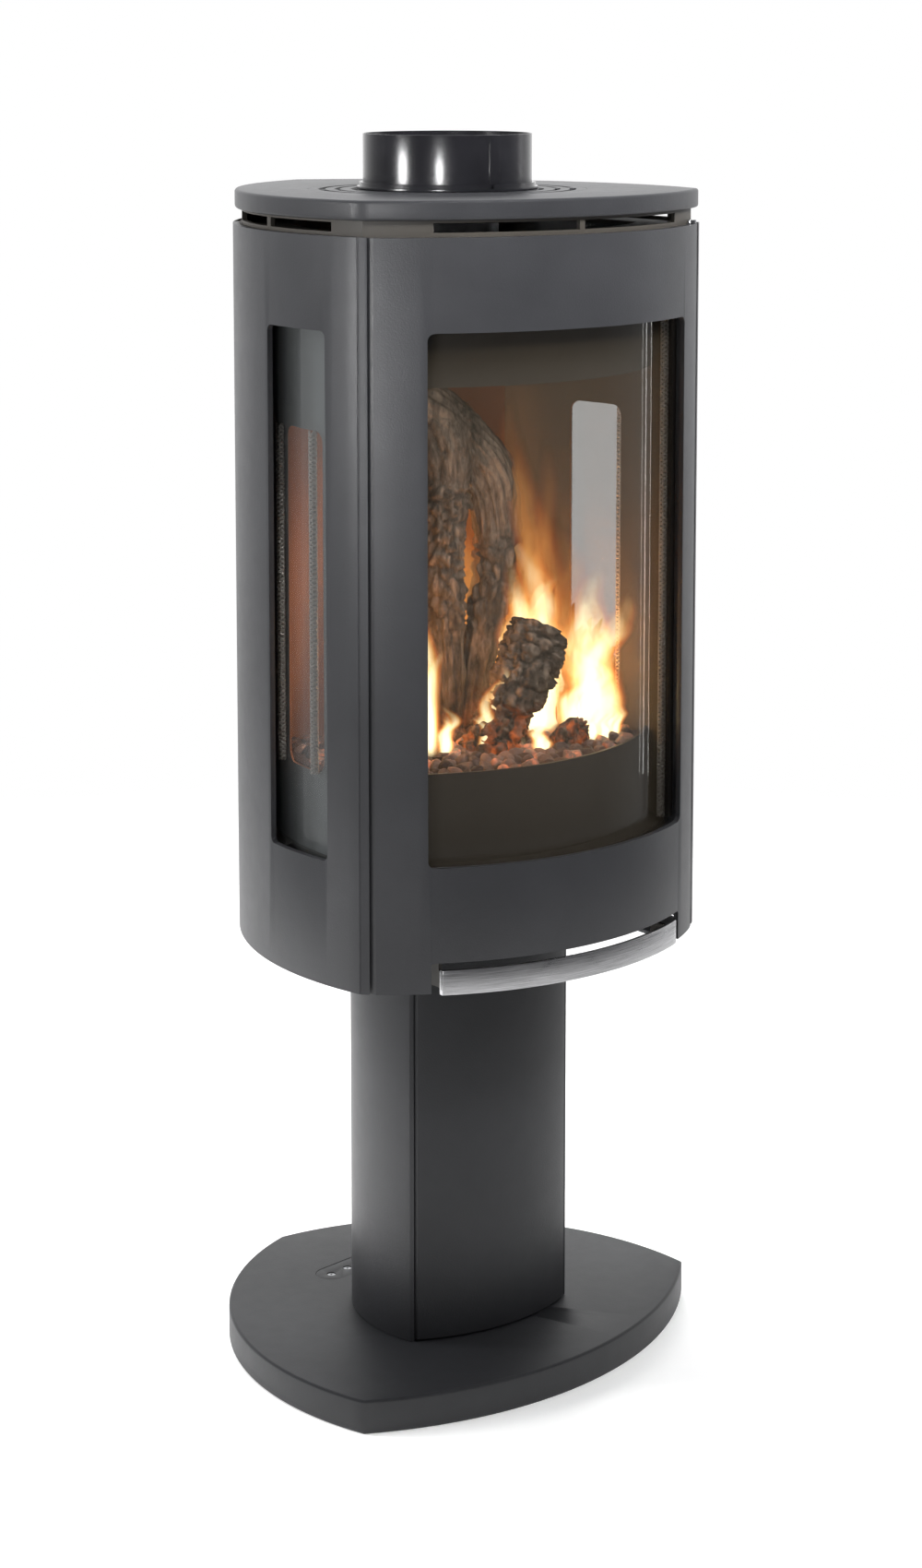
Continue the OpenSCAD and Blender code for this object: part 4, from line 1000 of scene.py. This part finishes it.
class STOVE_OT_rope_seals(bpy.types.Operator):
    """Braid the rope seals behind the glass"""
    bl_idname = "stove.rope_seals"
    bl_label = "Rope seals"

    def execute(self, context):
        sizes = context.scene.stove_sizes
        tree = braid_tree()
        parts = []
        for i, (low, high) in enumerate(solids_of("glass_gasket")):
            middle = (low + high) / 2
            length = high.z - low.z
            parts.append(tree.run(f"rope_{i}", bpy.data.meshes.new("seed"), {
                "Length": length, "Radius": (high.x - low.x) / 2 - sizes.rope_strand,
                "Strand": sizes.rope_strand, "Turns": length / sizes.rope_pitch,
                "Place": (middle.x, middle.y, low.z), "Material": finishes()["rope"]}))
        bm = bmesh.new()
        for part in parts:
            bm.from_mesh(part.data)
            bpy.data.objects.remove(part)
        made = add_object("braided_rope_seals", mesh_from(bm, "braided_rope_seals"), finishes()["rope"])
        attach(made, "stove")
        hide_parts("glass_gasket")
        return {"FINISHED"}


class STOVE_OT_rear_screws(bpy.types.Operator):
    """Screw the rear cover to the side panels"""
    bl_idname = "stove.rear_screws"
    bl_label = "Rear screws"

    def execute(self, context):
        cover = frame["nodes"]["rear_cover"].data
        surface = BVHTree.FromPolygons([v.co for v in cover.vertices],
                                       [tuple(f.vertices) for f in cover.polygons])
        low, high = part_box("rear_cover")
        step = (high.z - low.z - 2 * SCREW_END_GAP) / (SCREWS_A_SIDE - 1)
        points = []
        outward = []
        for sign in (-1, 1):
            for i in range(SCREWS_A_SIDE):
                height = low.z + SCREW_END_GAP + i * step
                start = Vector((sign, low.y + SCREW_INSET, height))
                place, facing, _, _ = surface.ray_cast(start, Vector((-sign, 0, 0)))
                if place is None:
                    raise RuntimeError("the rear cover has no face beside a screw")
                points.append(place)
                outward.append(facing)
        mesh = bpy.data.meshes.new("screw_points")
        mesh.from_pydata(points, [], [])
        facing = mesh.attributes.new("facing", "FLOAT_VECTOR", "POINT")
        for i, way in enumerate(outward):
            facing.data[i].vector = way
        made = screw_tree().run("rear_cover_screws", mesh, {
            "Radius": context.scene.stove_sizes.screw_radius, "Material": finishes()["zinc"]})
        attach(made, "stove")
        return {"FINISHED"}


class STOVE_OT_stage(bpy.types.Operator):
    """Set the floor, the studio light and the camera"""
    bl_idname = "stove.stage"
    bl_label = "Stage"

    def execute(self, context):
        scene = context.scene
        scene.view_settings.view_transform = "Standard"
        bm = bmesh.new()
        bmesh.ops.create_circle(bm, cap_ends=True, radius=FLOOR_RADIUS, segments=64)
        paint = pale_floor("studio_floor", scene.stove_colours.floor)
        add_object("studio_floor", mesh_from(bm, "studio_floor"), paint)
        scene.world = self.studio_world()
        for name, values in LIGHTS.items():
            self.softbox(name, *values)
        for i, (place, energy) in enumerate(FIRE_GLOW):
            glow = bpy.data.lights.new(f"fire_glow_{i}", "POINT")
            glow.energy = energy
            glow.color = FIRE_COLOUR
            glow.shadow_soft_size = 0.03
            self.hang(glow, (place[0], place[1], BED_TOP + place[2]), False)
        self.camera(scene)
        return {"FINISHED"}

    def studio_world(self):
        """White all round for the eye; as light, bright behind the stove and dim before it."""
        p = Paint("studio_gradient")
        world = bpy.data.worlds.new("studio")
        world.use_nodes = True
        p.tree = world.node_tree
        p.tree.nodes.clear()
        way = p.wire(p.node("ShaderNodeTexCoord", {}, {}), "Generated")
        x, y, z = p.split(way)
        behind = x * 0.60 + y * 0.80
        level = (behind * 0.5 + 0.45 + z * 0.08).clamp()
        light = p.ramp(level, [(0.0, (0.045, 0.045, 0.048)), (0.45, (0.09, 0.09, 0.094)),
                               (0.68, (0.26, 0.26, 0.265)), (0.85, (0.60, 0.60, 0.60)), (0.97, (1, 1, 1))])
        seen = p.wire(p.node("ShaderNodeLightPath", {}, {}), "Is Camera Ray")
        colour = p.blend(seen, light, (0.667, 0.667, 0.667))
        sky = p.node("ShaderNodeBackground", {}, {"Color": colour, "Strength": 1.5})
        out = p.tree.nodes.new("ShaderNodeOutputWorld")
        p.tree.links.new(sky.outputs[0], out.inputs["Surface"])
        bpy.data.materials.remove(p.material)
        return world

    def softbox(self, name, place, aim, width, height, energy, mirrored, spread):
        """A rectangular light aimed at a point."""
        light = bpy.data.lights.new(name, "AREA")
        light.shape = "RECTANGLE"
        light.size = width
        light.size_y = height
        light.energy = energy
        light.spread = math.radians(spread)
        way = Vector(aim) - Vector(place)
        self.hang(light, place, mirrored).rotation_euler = way.to_track_quat("-Z", "Y").to_euler()

    def hang(self, light, place, mirrored):
        """Puts a light in the scene, out of the camera's sight."""
        made = bpy.data.objects.new(light.name, light)
        made.location = place
        made.visible_camera = False
        made.visible_glossy = mirrored
        bpy.context.scene.collection.objects.link(made)
        return made

    def camera(self, scene):
        """The camera, before the stove and to its left, looking a little down."""
        turn = math.radians(-37.148)
        tilt = math.radians(7.71)
        away = 3.1697
        aside = 0.0135
        height = 1.3317
        data = bpy.data.cameras.new("studio_camera")
        data.sensor_width = 36.0
        data.lens = 73.08
        data.shift_y = -0.2
        made = bpy.data.objects.new("studio_camera", data)
        made.location = (math.sin(turn) * away + math.cos(turn) * aside,
                         -math.cos(turn) * away + math.sin(turn) * aside, height)
        made.rotation_euler = (math.pi / 2 - tilt, 0, turn)
        scene.collection.objects.link(made)
        scene.camera = made


OPERATORS = [STOVE_OT_castings, STOVE_OT_bare_pieces, STOVE_OT_logs, STOVE_OT_pebbles, STOVE_OT_flames,
             STOVE_OT_rope_seals, STOVE_OT_rear_screws, STOVE_OT_stage]


class STOVE_PT_panel(bpy.types.Panel):
    """Lists the stove's sizes, colours and steps"""
    bl_label = "Pedestal Stove"
    bl_idname = "STOVE_PT_panel"
    bl_space_type = "VIEW_3D"
    bl_region_type = "UI"
    bl_category = "Stove"

    def draw(self, context):
        for group in (context.scene.stove_sizes, context.scene.stove_colours):
            for name in group.__annotations__:
                self.layout.prop(group, name)
        for step in OPERATORS:
            self.layout.operator(step.bl_idname)


CLASSES = [StoveSizes, StoveColours, *OPERATORS, STOVE_PT_panel]


def register():
    for made in CLASSES:
        bpy.utils.register_class(made)
    bpy.types.Scene.stove_sizes = bpy.props.PointerProperty(type=StoveSizes)
    bpy.types.Scene.stove_colours = bpy.props.PointerProperty(type=StoveColours)


def unregister():
    del bpy.types.Scene.stove_colours
    del bpy.types.Scene.stove_sizes
    for made in reversed(CLASSES):
        bpy.utils.unregister_class(made)


def main():
    register()
    for step in OPERATORS:
        getattr(bpy.ops.stove, step.bl_idname.split(".")[1])()


if __name__ == "__main__":
    main()
